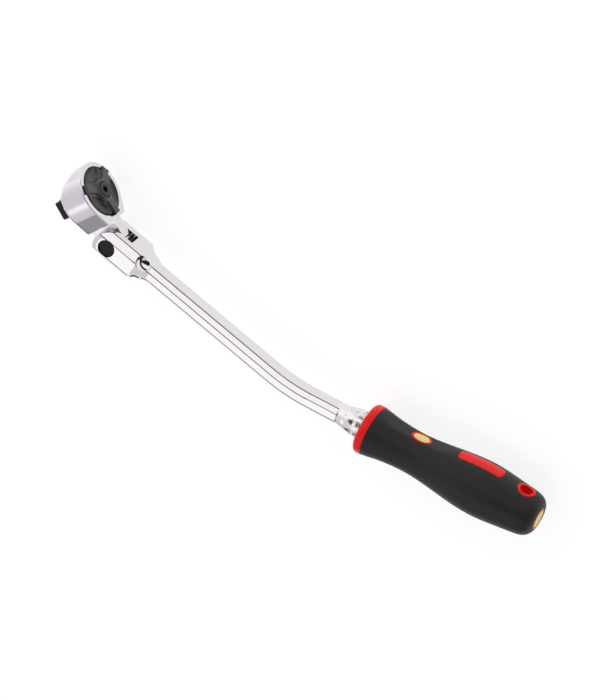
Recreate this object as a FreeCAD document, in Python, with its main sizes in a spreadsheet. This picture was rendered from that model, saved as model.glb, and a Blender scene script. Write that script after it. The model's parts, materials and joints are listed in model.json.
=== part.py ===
"""Flex-head ratchet wrench, half-inch square drive, with a cranked handle and a two-shot grip.

The row frame has +X along the grip towards its butt, +Y towards the reversing lever and +Z up along the
flex pivot, as the wrench lies on its side. Its origin is on the drive axis, where a socket seats.
Three local frames carry the pieces. In each, X runs towards the butt and Z towards the lever:
head (origin on the drive axis, mid-thickness), bar (origin on the flex pivot) and grip (origin at the
middle of the grip's front face).
"""

import FreeCAD
import Part
import Sketcher
import math
import os

V = FreeCAD.Vector

# Driving dimensions in millimetres and degrees.
SIZES = {
    # head
    "head_wall": 3.4,
    "head_thick": 20.0,
    "neck_width": 24.8,
    "back_bevel": 2.6,
    "rim_round": 0.8,
    "neck_land": 13.3,
    "tongue_width": 9.0,
    "floor_thick": 4.4,
    "cavity_gap": 1.5,
    "seat_step": 1.6,
    "seat_depth": 4.6,
    "ring_groove": 0.9,
    "pawl_pocket_gap": 1.1,
    "pawl_side_gap": 0.95,
    # drive
    "square_width": 12.7,
    "square_length": 13.5,
    "square_bevel": 1.0,
    "hub_radius": 11.4,
    "shoulder": 0.6,
    "gear_radius": 14.5,
    "tooth_depth": 0.6,
    "tooth_count": 72,
    "journal_radius": 8.6,
    "rod_radius": 2.5,
    "neck_radius": 1.3,
    "ball_radius": 2.3,
    "ball_stand": 1.0,
    "ball_drop": 7.0,
    "button_radius": 5.6,
    "ball_travel": 0.8,
    "button_travel": 2.5,
    # lever
    "plate_thick": 1.2,
    "flange_thick": 1.4,
    "ring_thick": 1.0,
    "disc_inset": 1.0,
    "disc_rise": 0.9,
    "boss_radius": 7.1,
    "boss_rise": 3.6,
    "arm_over": 0.8,
    "arm_width": 5.2,
    "arm_rise": 2.6,
    "lever_rest": 10.0,
    "arm_lag": 5.0,
    "detent_circle": 12.4,
    "detent_ball": 1.4,
    "shift_pin_radius": 0.9,
    "pawl_thick": 2.3,
    "pawl_half_angle": 22.0,
    # flex joint
    "flex_rest": 24.5,
    "fork_width": 29.0,
    "fork_thick": 21.0,
    "fork_bevel": 4.8,
    "fork_length": 19.5,
    "washer_thick": 0.3,
    "root_gap": 5.0,
    "pivot_radius": 4.5,
    "pivot_head": 6.1,
    "pivot_head_thick": 2.4,
    "pivot_sink": 1.2,
    "plunger_radius": 2.1,
    "plunger_length": 9.0,
    "plunger_bore": 14.0,
    "notch_radius": 1.5,
    "notch_step": 15.0,
    # bar
    "bar_width": 16.4,
    "bar_thick": 11.8,
    "bar_bevel": 3.2,
    "edge_round": 0.7,
    "flare_length": 15.5,
    "bend_reach": 152.5,
    "bend_angle": 14.2,
    "bend_radius": 125.0,
    "rear_reach": 57.5,
    "boss_half": 9.9,
    "boss_length": 9.0,
    "boss_flare": 9.5,
    "tang_radius": 6.0,
    "tang_end_gap": 19.4,
    # grip
    "grip_length": 132.5,
    "ferrule_length": 6.4,
    "ferrule_radius": 18.2,
    "grip_front": 17.9,
    "grip_waist": 14.7,
    "grip_waist_at": 36.0,
    "grip_belly": 19.6,
    "grip_belly_at": 90.0,
    "grip_tail": 15.6,
    "grip_tail_round": 8.2,
    "grip_wide": 1.06,
    "rubber_wall": 3.2,
    "window_back": 34.5,
    "window_length": 33.0,
    "window_width": 11.0,
    "badge_at": 39.0,
    "badge_length": 15.0,
    "badge_width": 11.0,
    "badge_border": 1.6,
    "badge_thick": 0.8,
    "hang_back": 14.5,
    "hang_radius": 4.7,
    "hang_wall": 1.9,
    "butt_radius": 6.2,
    "butt_thick": 1.6,
    "roll_pin_radius": 1.5,
    "roll_pin_at": 58.0,
    # clearances
    "running": 0.1,
    "gap": 0.2,
}

doc = FreeCAD.newDocument("ratchet")
sheet = doc.addObject("Spreadsheet::Sheet", "sizes")
for row, (alias, number) in enumerate(SIZES.items(), start=1):
    sheet.set(f"A{row}", alias)
    sheet.set(f"B{row}", str(number))
    sheet.setAlias(f"B{row}", alias)
doc.recompute()


class Size:
    """A number with the sheet expression it comes from, so that one formula gives both."""

    def __init__(self, value, text):
        self.value = float(value)
        self.text = text

    @staticmethod
    def of(other):
        return other if isinstance(other, Size) else Size(other, repr(float(other)))

    def joined(self, other, sign, value):
        return Size(value, f"({self.text} {sign} {Size.of(other).text})")

    def __add__(self, other):
        return self.joined(other, "+", self.value + Size.of(other).value)

    def __sub__(self, other):
        return self.joined(other, "-", self.value - Size.of(other).value)

    def __mul__(self, other):
        return self.joined(other, "*", self.value * Size.of(other).value)

    def __truediv__(self, other):
        return self.joined(other, "/", self.value / Size.of(other).value)

    def __radd__(self, other):
        return Size.of(other) + self

    def __rsub__(self, other):
        return Size.of(other) - self

    def __rmul__(self, other):
        return Size.of(other) * self

    def __neg__(self):
        return Size.of(0) - self


class Sheet:
    """Each alias of the sheet as an attribute."""

    def __init__(self):
        for alias in SIZES:
            setattr(self, alias, Size(sheet.get(alias), f"sizes.{alias}"))


D = Sheet()
CAVITY_R = D.gear_radius + D.cavity_gap
SEAT_R = CAVITY_R + D.seat_step
HEAD_R = SEAT_R + D.head_wall
NECK_REACH = HEAD_R + 0
PIVOT_REACH = NECK_REACH + D.neck_land
SHIFT_R = CAVITY_R + 0
PAWL_TIP = D.gear_radius + D.running
PAWL_OUTER = PAWL_TIP + D.tooth_depth + D.pawl_thick
PAWL_REACH = math.radians(SIZES["pawl_half_angle"] + SIZES["lever_rest"] / 2)
POCKET_WIDTH = PAWL_OUTER * (2 * math.sin(PAWL_REACH)) + 2 * D.pawl_side_gap
DISC_R = SEAT_R - D.disc_inset
ARM_REACH = SEAT_R + D.arm_over
SLOT_WIDTH = D.tongue_width + 2 * (D.washer_thick + D.running)
SLOT_ROOT = D.head_thick / 2 + D.root_gap
HANG_AT = D.grip_length - D.hang_back
WINDOW_AT = HANG_AT - D.window_back
TANG_LENGTH = HANG_AT - D.hang_radius - D.hang_wall - D.tang_end_gap
HALF_HEAD = D.head_thick / 2
SEAT_Z = HALF_HEAD - D.seat_depth
FLOOR_Z = D.floor_thick - HALF_HEAD
PLATE_TOP = SEAT_Z + D.plate_thick
FLANGE_LOW = PLATE_TOP + D.running
FLANGE_TOP = FLANGE_LOW + D.flange_thick
RING_LOW = FLANGE_TOP + D.running
DETENT_Z = PLATE_TOP + D.detent_ball * 0.6
DISC_TOP = HALF_HEAD + D.disc_rise
ARM_TOP = HALF_HEAD + D.arm_rise
BOSS_TOP = HALF_HEAD + D.boss_rise
SHOULDER_Z = -HALF_HEAD - D.shoulder
SQUARE_END = SHOULDER_Z - D.square_length
BALL_Z = SHOULDER_Z - D.ball_drop
HALF_FORK = D.fork_width / 2
HALF_SLOT = SLOT_WIDTH / 2
TONGUE_R = HALF_HEAD
EAR_R = D.fork_thick / 2
PIN_HOLE = D.pivot_radius + D.running


# ---------------------------------------------------------------- document helpers
def bind(thing, prop, size):
    """Sets a property, and binds it to the sheet where the size comes from it."""
    size = Size.of(size)
    if "sizes." in size.text:
        thing.setExpression(prop, size.text)
    else:
        setattr(thing, prop, size.value)
    return thing


def put(thing, x=0, y=0, z=0, axis="Z", turn=0.0):
    """Places a construction solid: its own Z along axis, then a turn about that axis."""
    lie = {"Z": FreeCAD.Rotation(), "X": FreeCAD.Rotation(V(0, 1, 0), 90), "Y": FreeCAD.Rotation(V(1, 0, 0), -90)}
    spin = {"Z": V(0, 0, 1), "X": V(1, 0, 0), "Y": V(0, 1, 0)}
    x, y, z = Size.of(x), Size.of(y), Size.of(z)
    rotation = FreeCAD.Rotation(spin[axis], turn).multiply(lie[axis])
    thing.Placement = FreeCAD.Placement(V(x.value, y.value, z.value), rotation)
    for side, size in (("x", x), ("y", y), ("z", z)):
        if "sizes." in size.text:
            thing.setExpression(f".Placement.Base.{side}", size.text)
    return thing


def cylinder(radius, height, x=0, y=0, z=0, axis="Z"):
    """A cylinder whose foot is at x, y, z."""
    thing = doc.addObject("Part::Cylinder", "cylinder")
    bind(thing, "Radius", radius)
    bind(thing, "Height", height)
    return put(thing, x, y, z, axis)


def cone(low, high, height, x=0, y=0, z=0, axis="Z"):
    """A cone of two radii whose foot is at x, y, z."""
    thing = doc.addObject("Part::Cone", "cone")
    bind(thing, "Radius1", low)
    bind(thing, "Radius2", high)
    bind(thing, "Height", height)
    return put(thing, x, y, z, axis)


def ball(radius, x=0, y=0, z=0):
    """A sphere about x, y, z."""
    thing = doc.addObject("Part::Sphere", "ball")
    bind(thing, "Radius", radius)
    return put(thing, x, y, z)


def torus(major, minor, x=0, y=0, z=0, axis="Z"):
    """A torus about x, y, z."""
    thing = doc.addObject("Part::Torus", "torus")
    bind(thing, "Radius1", major)
    bind(thing, "Radius2", minor)
    return put(thing, x, y, z, axis)


def block(length, width, height, x=0, y=0, z=0, centred="y"):
    """A box from x, y, z, centred on the axes named in centred."""
    thing = doc.addObject("Part::Box", "block")
    bind(thing, "Length", length)
    bind(thing, "Width", width)
    bind(thing, "Height", height)
    x = x - Size.of(length) / 2 if "x" in centred else x
    y = y - Size.of(width) / 2 if "y" in centred else y
    z = z - Size.of(height) / 2 if "z" in centred else z
    return put(thing, x, y, z)


def fuse(*things):
    """One solid of several."""
    thing = doc.addObject("Part::MultiFuse", "fuse")
    thing.Shapes = list(things)
    thing.Refine = True
    return thing


def alone(thing):
    """A lone primitive in a compound, whose own placement stays free for the frame."""
    group = doc.addObject("Part::Compound", "alone")
    group.Links = [thing]
    return group


def cut(base, *tools):
    """The base with the tools taken away."""
    thing = doc.addObject("Part::Cut", "cut")
    thing.Base = base
    thing.Tool = tools[0] if len(tools) == 1 else fuse(*tools)
    return thing


def common(*things):
    """What several solids share."""
    thing = doc.addObject("Part::MultiCommon", "common")
    thing.Shapes = list(things)
    return thing


def solid(shape, name):
    """A construction solid made with Part's own functions."""
    thing = doc.addObject("Part::Feature", name)
    thing.Shape = shape
    return thing


def rounded(base, radius, choose, kind="Part::Fillet"):
    """Fillets or chamfers the edges that choose picks."""
    doc.recompute()
    thing = doc.addObject(kind, "rounded")
    thing.Base = base
    size = Size.of(radius).value
    thing.Edges = [(n, size, size) for n, edge in enumerate(base.Shape.Edges, start=1) if choose(edge)]
    base.Visibility = False
    return thing


def outline(sketch, points):
    """Draws a closed outline of straight lines and binds each corner to the sheet."""
    corners = [(Size.of(x), Size.of(y)) for x, y in points]
    count = len(corners)
    for n in range(count):
        (x0, y0), (x1, y1) = corners[n], corners[(n + 1) % count]
        sketch.addGeometry(Part.LineSegment(V(x0.value, y0.value, 0), V(x1.value, y1.value, 0)))
    for n in range(count):
        sketch.addConstraint(Sketcher.Constraint("Coincident", n, 2, (n + 1) % count, 1))
    for n, (x, y) in enumerate(corners):
        for word, size, line in (("DistanceX", x, -2), ("DistanceY", y, -1)):
            if abs(size.value) < 1e-9:
                sketch.addConstraint(Sketcher.Constraint("PointOnObject", n, 1, line))
                continue
            index = sketch.addConstraint(Sketcher.Constraint(word, -1, 1, n, 1, size.value))
            if "sizes." in size.text:
                sketch.setExpression(f"Constraints[{index}]", size.text)


def origin_plane(body, role):
    """One of a body's own origin planes or axes."""
    return next(item for item in body.Origin.OriginFeatures if item.Role == role)


def new_body(label):
    body = doc.addObject("PartDesign::Body", label)
    body.Label = label
    return body


def body_sketch(body, role):
    """A sketch on one of the body's origin planes."""
    sketch = body.newObject("Sketcher::SketchObject", "profile")
    sketch.AttachmentSupport = [(origin_plane(body, role), "")]
    sketch.MapMode = "FlatFace"
    return sketch


def turned(label, profile):
    """A body turned about its own Z from an outline of radius and height."""
    body = new_body(label)
    sketch = body_sketch(body, "XZ_Plane")
    outline(sketch, profile)
    revolution = body.newObject("PartDesign::Revolution", "turned")
    revolution.Profile = sketch
    revolution.ReferenceAxis = (sketch, ["V_Axis"])
    revolution.Angle = 360.0
    body.Tip = revolution
    return body


def flat_sketch(name, normal="Z", offset=0):
    """A free sketch: normal Z draws in x and y, normal Y draws in x and z."""
    sketch = doc.addObject("Sketcher::SketchObject", name)
    if normal == "Y":
        sketch.Placement = FreeCAD.Placement(V(0, Size.of(offset).value, 0), FreeCAD.Rotation(V(1, 0, 0), 90))
    else:
        sketch.Placement = FreeCAD.Placement(V(0, 0, Size.of(offset).value), FreeCAD.Rotation())
    return sketch


def extruded(sketch, length, direction):
    """A sketch extruded evenly to both sides along direction."""
    thing = doc.addObject("Part::Extrusion", "extruded")
    thing.Base = sketch
    thing.DirMode = "Custom"
    thing.Dir = direction
    thing.Symmetric = True
    thing.Solid = True
    bind(thing, "LengthFwd", length)
    return thing


# ---------------------------------------------------------------- frames
def frames():
    """The placements of the three local frames in the row frame."""
    stand = FreeCAD.Rotation(V(1, 0, 0), -90)
    bar_turn = -D.bend_angle.value
    head_turn = bar_turn - D.flex_rest.value
    spin = {
        "head": FreeCAD.Rotation(V(0, 0, 1), head_turn).multiply(stand),
        "bar": FreeCAD.Rotation(V(0, 0, 1), bar_turn).multiply(stand),
        "grip": stand,
    }
    head_origin = spin["head"].multVec(V(0, 0, -SHOULDER_Z.value))
    pivot = head_origin + spin["head"].multVec(V(PIVOT_REACH.value, 0, 0))
    bend = pivot + spin["bar"].multVec(V(D.bend_reach.value, 0, 0))
    front = bend + spin["grip"].multVec(V(D.rear_reach.value, 0, 0))
    base = {"head": head_origin, "bar": pivot, "grip": front}
    return {name: FreeCAD.Placement(base[name], spin[name]) for name in base}


FRAMES = frames()
pieces = []


def piece(thing, label, frame):
    """Names a finished sub-part and places it in the row frame."""
    thing.Label = label
    pieces.append((thing, label, frame))
    return thing


# ---------------------------------------------------------------- head
def teardrop():
    """The head seen from the lever: a round end with straight sides tangent to it."""
    sketch = flat_sketch("teardrop")
    r, reach, half = HEAD_R.value, NECK_REACH.value, D.neck_width.value / 2
    corner = math.hypot(reach, half)
    lean = math.atan2(half, reach) + math.acos(min(1.0, r / corner))
    top = V(r * math.cos(lean), r * math.sin(lean), 0)
    low = V(top.x, -top.y, 0)
    sketch.addGeometry(Part.ArcOfCircle(Part.Circle(V(0, 0, 0), V(0, 0, 1), r), lean, 2 * math.pi - lean))
    sketch.addGeometry(Part.LineSegment(low, V(reach, -half, 0)))
    sketch.addGeometry(Part.LineSegment(V(reach, -half, 0), V(reach, half, 0)))
    sketch.addGeometry(Part.LineSegment(V(reach, half, 0), top))
    sketch.addConstraint(Sketcher.Constraint("Coincident", 0, 3, -1, 1))
    sketch.addConstraint(Sketcher.Constraint("Tangent", 0, 2, 1, 1))
    sketch.addConstraint(Sketcher.Constraint("Coincident", 1, 2, 2, 1))
    sketch.addConstraint(Sketcher.Constraint("Coincident", 2, 2, 3, 1))
    sketch.addConstraint(Sketcher.Constraint("Tangent", 3, 2, 0, 1))
    drivers = (
        (Sketcher.Constraint("Radius", 0, r), HEAD_R),
        (Sketcher.Constraint("DistanceX", -1, 1, 2, 1, reach), NECK_REACH),
        (Sketcher.Constraint("DistanceX", -1, 1, 2, 2, reach), NECK_REACH),
        (Sketcher.Constraint("DistanceY", 2, 1, -1, 1, half), D.neck_width / 2),
        (Sketcher.Constraint("DistanceY", -1, 1, 2, 2, half), D.neck_width / 2),
    )
    for constraint, size in drivers:
        index = sketch.addConstraint(constraint)
        sketch.setExpression(f"Constraints[{index}]", size.text)
    return sketch


def head_body():
    """The forged head with its gear cavity, lever seat, pawl pocket and notched flex tongue."""
    blank = extruded(teardrop(), D.head_thick, V(0, 0, 1))
    half, neck = HALF_HEAD.value, NECK_REACH.value - 0.1

    def at_level(edge, level):
        box = edge.BoundBox
        return abs(box.ZMin - level) < 1e-6 and abs(box.ZMax - level) < 1e-6

    blank = rounded(blank, D.back_bevel, lambda edge: at_level(edge, -half) and edge.BoundBox.XMin < neck, "Part::Fillet")
    blank = rounded(blank, D.rim_round, lambda edge: at_level(edge, half) and edge.BoundBox.XMin < neck)
    middle_x, middle_z = HEAD_R * 0.52, D.head_thick * 0.4
    dome_reach = math.hypot(1.52 * HEAD_R.value, 0.1 * D.head_thick.value)
    blank = common(blank, ball(dome_reach, middle_x, 0, middle_z))
    tongue = fuse(
        block(PIVOT_REACH - NECK_REACH + 2, D.tongue_width, 2 * TONGUE_R, NECK_REACH - 2, 0, -TONGUE_R),
        cylinder(TONGUE_R, D.tongue_width, PIVOT_REACH, -D.tongue_width / 2, 0, "Y"),
    )
    notches = []
    for step in range(-7, 5):
        angle = math.radians(D.flex_rest.value + D.notch_step.value * step)
        reach = TONGUE_R + D.notch_radius * 0.7
        notches.append(
            cylinder(
                D.notch_radius,
                D.tongue_width + 2,
                PIVOT_REACH + reach * math.cos(angle),
                -D.tongue_width / 2 - 1,
                reach * math.sin(angle),
                "Y",
            )
        )
    hollows = [
        cylinder(SEAT_R, D.seat_depth + 1, z=SEAT_Z),
        cylinder(SEAT_R + D.ring_groove, D.ring_thick + 2 * D.running, z=RING_LOW - D.running),
        cylinder(CAVITY_R, D.head_thick, z=FLOOR_Z),
        cylinder(D.hub_radius + D.running, D.head_thick, z=-D.head_thick),
        block(
            PAWL_OUTER + D.pawl_pocket_gap,
            POCKET_WIDTH,
            SEAT_Z - FLOOR_Z + D.running,
            0,
            0,
            FLOOR_Z,
        ),
        cylinder(PIN_HOLE, D.tongue_width + 2, PIVOT_REACH, -D.tongue_width / 2 - 1, 0, "Y"),
    ]
    return piece(cut(fuse(blank, tongue), *hollows, *notches), "head_body", "head")


def cover_plate():
    """The steel plate under the lever, with a ring groove for the detent ball and a notch for the shift pin."""
    plate = cylinder(SEAT_R - D.gap, D.plate_thick, z=SEAT_Z)
    tools = [
        cylinder(D.journal_radius + D.running, D.plate_thick + 2, z=SEAT_Z - 1),
        torus(D.detent_circle, D.detent_ball + D.running, z=DETENT_Z),
        block(
            SEAT_R - SHIFT_R + D.shift_pin_radius * 2 + 3,
            POCKET_WIDTH - 2,
            D.plate_thick + 2,
            SHIFT_R - D.shift_pin_radius * 1.6,
            0,
            SEAT_Z - 1,
        ),
    ]
    return piece(cut(plate, *tools), "cover_plate", "head")


def lever_ring():
    """The open snap ring that keeps the lever in its seat."""
    ring = cylinder(SEAT_R + D.ring_groove - D.gap, D.ring_thick, z=RING_LOW)
    bore = cylinder(DISC_R + D.gap, D.ring_thick + 2, z=RING_LOW - 1)
    gap = block(6, 7, D.ring_thick + 2, -SEAT_R - 3, 0, RING_LOW - 1)
    return piece(cut(ring, bore, gap), "lever_snap_ring", "head")


def reverse_lever():
    """The reversing lever: a flanged disc with three finger arms and a hollow boss."""
    spin = D.lever_rest.value
    base = turned(
        "lever_base",
        [
            (D.button_radius + D.gap, FLANGE_LOW),
            (SEAT_R - D.gap, FLANGE_LOW),
            (SEAT_R - D.gap, FLANGE_TOP),
            (DISC_R, FLANGE_TOP),
            (DISC_R, DISC_TOP),
            (D.boss_radius, DISC_TOP),
            (D.boss_radius, BOSS_TOP),
            (D.button_radius + D.gap, BOSS_TOP),
        ],
    )
    journal = cylinder(D.journal_radius + D.running, D.flange_thick, z=FLANGE_LOW - 1)
    arms = []
    for step in range(3):
        angle = spin - D.arm_lag.value + 120 * step
        arm = doc.addObject("Part::Box", "arm")
        bind(arm, "Length", ARM_REACH - D.button_radius - 1)
        bind(arm, "Width", D.arm_width)
        bind(arm, "Height", D.arm_rise - D.gap)
        offset = V(D.button_radius.value + 1, -D.arm_width.value / 2, HALF_HEAD.value + D.gap.value)
        turn = FreeCAD.Rotation(V(0, 0, 1), angle)
        arm.Placement = FreeCAD.Placement(turn.multVec(offset), turn)
        arms.append(arm)
    angle = math.radians(spin)
    pocket = cylinder(
        D.detent_ball + D.running,
        3.9,
        D.detent_circle * math.cos(angle),
        D.detent_circle * math.sin(angle),
        FLANGE_LOW - 0.5,
    )
    seat = cylinder(
        D.shift_pin_radius,
        D.flange_thick + 1,
        SHIFT_R * math.cos(angle),
        SHIFT_R * math.sin(angle),
        FLANGE_LOW - 1,
    )
    return piece(cut(fuse(base, *arms), journal, pocket, seat), "reverse_lever", "head")


def lever_details():
    """The shift pin pressed into the lever, and the ball and spring that click it into place."""
    angle = math.radians(D.lever_rest.value)
    x, y = math.cos(angle), math.sin(angle)
    low = SEAT_Z - 2.2
    pin = cylinder(D.shift_pin_radius, FLANGE_TOP - low, SHIFT_R * x, SHIFT_R * y, low)
    piece(alone(pin), "shift_pin", "head")
    clicker = ball(D.detent_ball, D.detent_circle * x, D.detent_circle * y, DETENT_Z)
    piece(alone(clicker), "lever_detent_ball", "head")
    coil = spring(D.detent_ball.value * 0.75, 0.22, 1.1, 3)
    rise = DETENT_Z.value + D.detent_ball.value + 0.02
    coil.translate(V(D.detent_circle.value * x, D.detent_circle.value * y, rise))
    piece(solid(coil, "coil"), "lever_detent_spring", "head")


def spring(radius, wire, length, turns):
    """A coil spring standing on z = 0, with its wire's lowest point there."""
    rise = length - 2 * wire
    helix = Part.makeHelix(rise / turns, rise, radius)
    section = Part.Wire(Part.makeCircle(wire, V(radius, 0, 0), V(0, 1, 0)))
    pipe = Part.Wire(helix.Edges).makePipeShell([section], True, True)
    pipe.translate(V(0, 0, wire))
    return pipe


def pawl():
    """The toothed pawl behind the gear, with a notch for the shift pin."""
    centre = math.radians(D.lever_rest.value / 2)
    half = math.radians(D.pawl_half_angle.value)
    inner = PAWL_TIP.value
    deep = inner + D.tooth_depth.value
    outer = PAWL_OUTER.value
    pitch = 2 * math.pi / D.tooth_count.value
    teeth = int(half / pitch)
    points = []
    for n in range(-teeth, teeth):
        points.append((deep, centre + n * pitch))
        points.append((inner, centre + (n + 0.5) * pitch))
    points.append((deep, centre + teeth * pitch))
    inside = [V(r * math.cos(a), r * math.sin(a), 0) for r, a in points]
    ends = [V(outer * math.cos(a), outer * math.sin(a), 0) for a in (centre + half, centre, centre - half)]
    edges = [Part.makeLine(a, b) for a, b in zip(inside, inside[1:])]
    edges += [Part.makeLine(inside[-1], ends[0]), Part.Arc(*ends).toShape(), Part.makeLine(ends[2], inside[0])]
    low, high = FLOOR_Z + D.gap, SEAT_Z - D.gap
    plan = solid(Part.Face(Part.Wire(edges)), "pawl_plan")
    slab = doc.addObject("Part::Extrusion", "pawl_slab")
    slab.Base = plan
    slab.DirMode = "Custom"
    slab.Dir = V(0, 0, 1)
    slab.Solid = True
    bind(slab, "LengthFwd", high - low)
    put(slab, z=low)
    angle = math.degrees(centre)
    notch = doc.addObject("Part::Box", "notch")
    bind(notch, "Length", D.pawl_thick + 2)
    notch_width = 4 * D.shift_pin_radius + 3.4
    bind(notch, "Width", notch_width)
    bind(notch, "Height", 3.6)
    turn = FreeCAD.Rotation(V(0, 0, 1), angle)
    offset = V(SHIFT_R.value - D.shift_pin_radius.value - 0.15, -notch_width.value / 2, high.value - 2.6)
    notch.Placement = FreeCAD.Placement(turn.multVec(offset), turn)
    return piece(cut(slab, notch), "pawl", "head")


def pawl_leaf_spring():
    """The leaf that presses the pawl towards the gear."""
    radius = PAWL_OUTER + D.gap
    ring = cylinder(radius + 0.3, 5.0, z=-3.0)
    bore = cylinder(radius, 7.0, z=-4.0)
    reach = block(6, 12.4, 7, PAWL_OUTER - 4.9, 0, -4.0)
    return piece(common(cut(ring, bore), reach), "pawl_leaf_spring", "head")


# ---------------------------------------------------------------- drive
def gear_blank():
    """The toothed rim, drawn tooth by tooth."""
    count = int(D.tooth_count.value)
    tip, root = D.gear_radius.value, D.gear_radius.value - D.tooth_depth.value
    points = []
    for n in range(count):
        angle = 2 * math.pi * n / count
        points.append(V(tip * math.cos(angle), tip * math.sin(angle), 0))
        angle += math.pi / count
        points.append(V(root * math.cos(angle), root * math.sin(angle), 0))
    plan = solid(Part.Face(Part.makePolygon(points + points[:1])), "gear_plan")
    rim = doc.addObject("Part::Extrusion", "gear_rim")
    rim.Base = plan
    rim.DirMode = "Custom"
    rim.Dir = V(0, 0, 1)
    rim.Solid = True
    low, high = FLOOR_Z + D.gap, SEAT_Z - D.gap
    bind(rim, "LengthFwd", high - low)
    return put(rim, z=low)


def drive_gear():
    """The ratchet gear with its hub, square drive, rod bore and ball hole."""
    low = FLOOR_Z + D.gap
    hub = cylinder(D.hub_radius, low - SHOULDER_Z + 0.5, z=SHOULDER_Z)
    journal = cylinder(D.journal_radius, FLANGE_LOW - SEAT_Z, z=SEAT_Z - D.gap - 0.1)
    square = block(D.square_width, D.square_width, D.square_length + 1, z=SQUARE_END, centred="xy")
    tip_z = SQUARE_END.value

    def at_tip(edge):
        return edge.BoundBox.ZMax < tip_z + 1e-6

    def upright(edge):
        return edge.BoundBox.ZLength > 2 and edge.Length > 2

    square = rounded(square, D.square_bevel, at_tip, "Part::Chamfer")
    square = rounded(square, D.square_bevel * 0.8, upright, "Part::Chamfer")
    bore = cylinder(D.rod_radius + D.running, 40, z=BALL_Z - 5)
    mouth = cylinder(D.rod_radius + 1.6, 10, z=SEAT_Z - 5.0)
    ball_hole = cylinder(D.ball_radius + D.running, D.square_width, 0, -D.square_width, BALL_Z, "Y")
    groove = cut(
        cylinder(D.hub_radius + 1, 1.3, z=-HALF_HEAD + 1.2),
        cylinder(D.hub_radius - 1.0, 3.3, z=-HALF_HEAD + 0.2),
    )
    return piece(
        cut(fuse(gear_blank(), hub, journal, square), bore, mouth, ball_hole, groove), "drive_gear", "head"
    )


def drive_details():
    """The hub seal, the socket ball, and the release rod, button and spring."""
    piece(alone(torus(D.hub_radius - 0.4, 0.45, z=-HALF_HEAD + 1.85)), "hub_seal", "head")
    reach = D.square_width / 2 + D.ball_stand - D.ball_radius
    piece(alone(ball(D.ball_radius, 0, -reach, BALL_Z)), "socket_ball", "head")
    slope_low = BALL_Z + 0.2
    slope_high = slope_low + D.button_travel * 0.8
    neck_top = BALL_Z + D.ball_radius + D.button_travel + 0.3
    cap_low = HALF_HEAD + D.disc_rise
    rod_low = BALL_Z - 5 + D.button_travel + D.gap
    piece(
        turned(
            "release_rod",
            [
                (0, rod_low),
                (D.rod_radius, rod_low),
                (D.rod_radius, slope_low),
                (D.neck_radius, slope_high),
                (D.neck_radius, neck_top),
                (D.rod_radius, neck_top + 1.0),
                (D.rod_radius, cap_low),
                (0, cap_low),
            ],
        ),
        "release_rod",
        "head",
    )
    cap = turned(
        "button_cap",
        [
            (0, cap_low + 0.0),
            (D.button_radius, cap_low),
            (D.button_radius, BOSS_TOP - 1.0),
            (D.button_radius - 0.8, BOSS_TOP - 0.4),
            (0, BOSS_TOP - 0.4),
        ],
    )
    socket = cylinder(1.7, 2.0, z=BOSS_TOP - 1.6)
    piece(cut(cap, socket), "release_button", "head")
    coil = spring(D.rod_radius.value + 0.75, 0.4, (cap_low - SEAT_Z).value + 5.0 - 0.04, 6)
    coil.translate(V(0, 0, SEAT_Z.value - 5.0 + 0.02))
    piece(solid(coil, "coil"), "button_spring", "head")


# ---------------------------------------------------------------- flex joint
def pivot_pieces():
    """The pivot bolt and its sleeve nut, flush in the fork, and two thrust washers."""
    near, far = -HALF_FORK + D.pivot_sink, HALF_FORK - D.pivot_sink
    split = HALF_SLOT + 1.0
    bolt = turned(
        "bolt_blank",
        [
            (0, near),
            (D.pivot_head - 0.5, near),
            (D.pivot_head, near + 0.5),
            (D.pivot_head, near + D.pivot_head_thick),
            (D.pivot_radius, near + D.pivot_head_thick),
            (D.pivot_radius, split),
            (D.pivot_radius * 0.62, split),
            (D.pivot_radius * 0.62, far - 1.4),
            (0, far - 1.4),
        ],
    )
    nut = turned(
        "nut_blank",
        [
            (D.pivot_radius * 0.62 + D.running / 2, split + D.running),
            (D.pivot_radius, split + D.running),
            (D.pivot_radius, far - D.pivot_head_thick),
            (D.pivot_head, far - D.pivot_head_thick),
            (D.pivot_head, far - 0.5),
            (D.pivot_head - 0.5, far),
            (0, far),
            (0, far - 1.3),
            (D.pivot_radius * 0.62 + D.running / 2, far - 1.3),
        ],
    )
    lie = FreeCAD.Placement(V(0, 0, 0), FreeCAD.Rotation(V(1, 0, 0), -90))
    for body, name in ((bolt, "pivot_bolt"), (nut, "pivot_nut")):
        body.Placement = lie
        piece(alone(body), name, "bar")
    thick = D.washer_thick
    washers = []
    for side in (-1, 1):
        y = side * (D.tongue_width / 2 + D.running / 2) - (thick if side < 0 else 0)
        rim = cylinder(D.pivot_radius + 3.2, thick, 0, y, 0, "Y")
        hole = cylinder(PIN_HOLE, thick + 2, 0, y - 1, 0, "Y")
        washers.append(cut(rim, hole))
    group = doc.addObject("Part::Compound", "washers")
    group.Links = washers
    piece(group, "thrust_washers", "bar")


def plunger_pieces():
    """The detent plunger and its spring, in the fork's root behind the tongue."""
    tip = TONGUE_R + 0.15
    shank = cylinder(D.plunger_radius, D.plunger_length - D.plunger_radius, tip + D.plunger_radius, 0, 0, "X")
    nose = ball(D.plunger_radius, tip + D.plunger_radius)
    piece(fuse(shank, nose), "flex_plunger", "bar")
    start = TONGUE_R.value + 0.15 + D.plunger_length.value
    end = SLOT_ROOT.value + D.plunger_bore.value
    coil = spring(D.plunger_radius.value - 0.45, 0.35, end - start - 0.8, 5)
    coil.rotate(V(0, 0, 0), V(0, 1, 0), 90)
    coil.translate(V(start + 0.78, 0, 0))
    piece(solid(coil, "coil"), "flex_plunger_spring", "bar")


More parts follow.
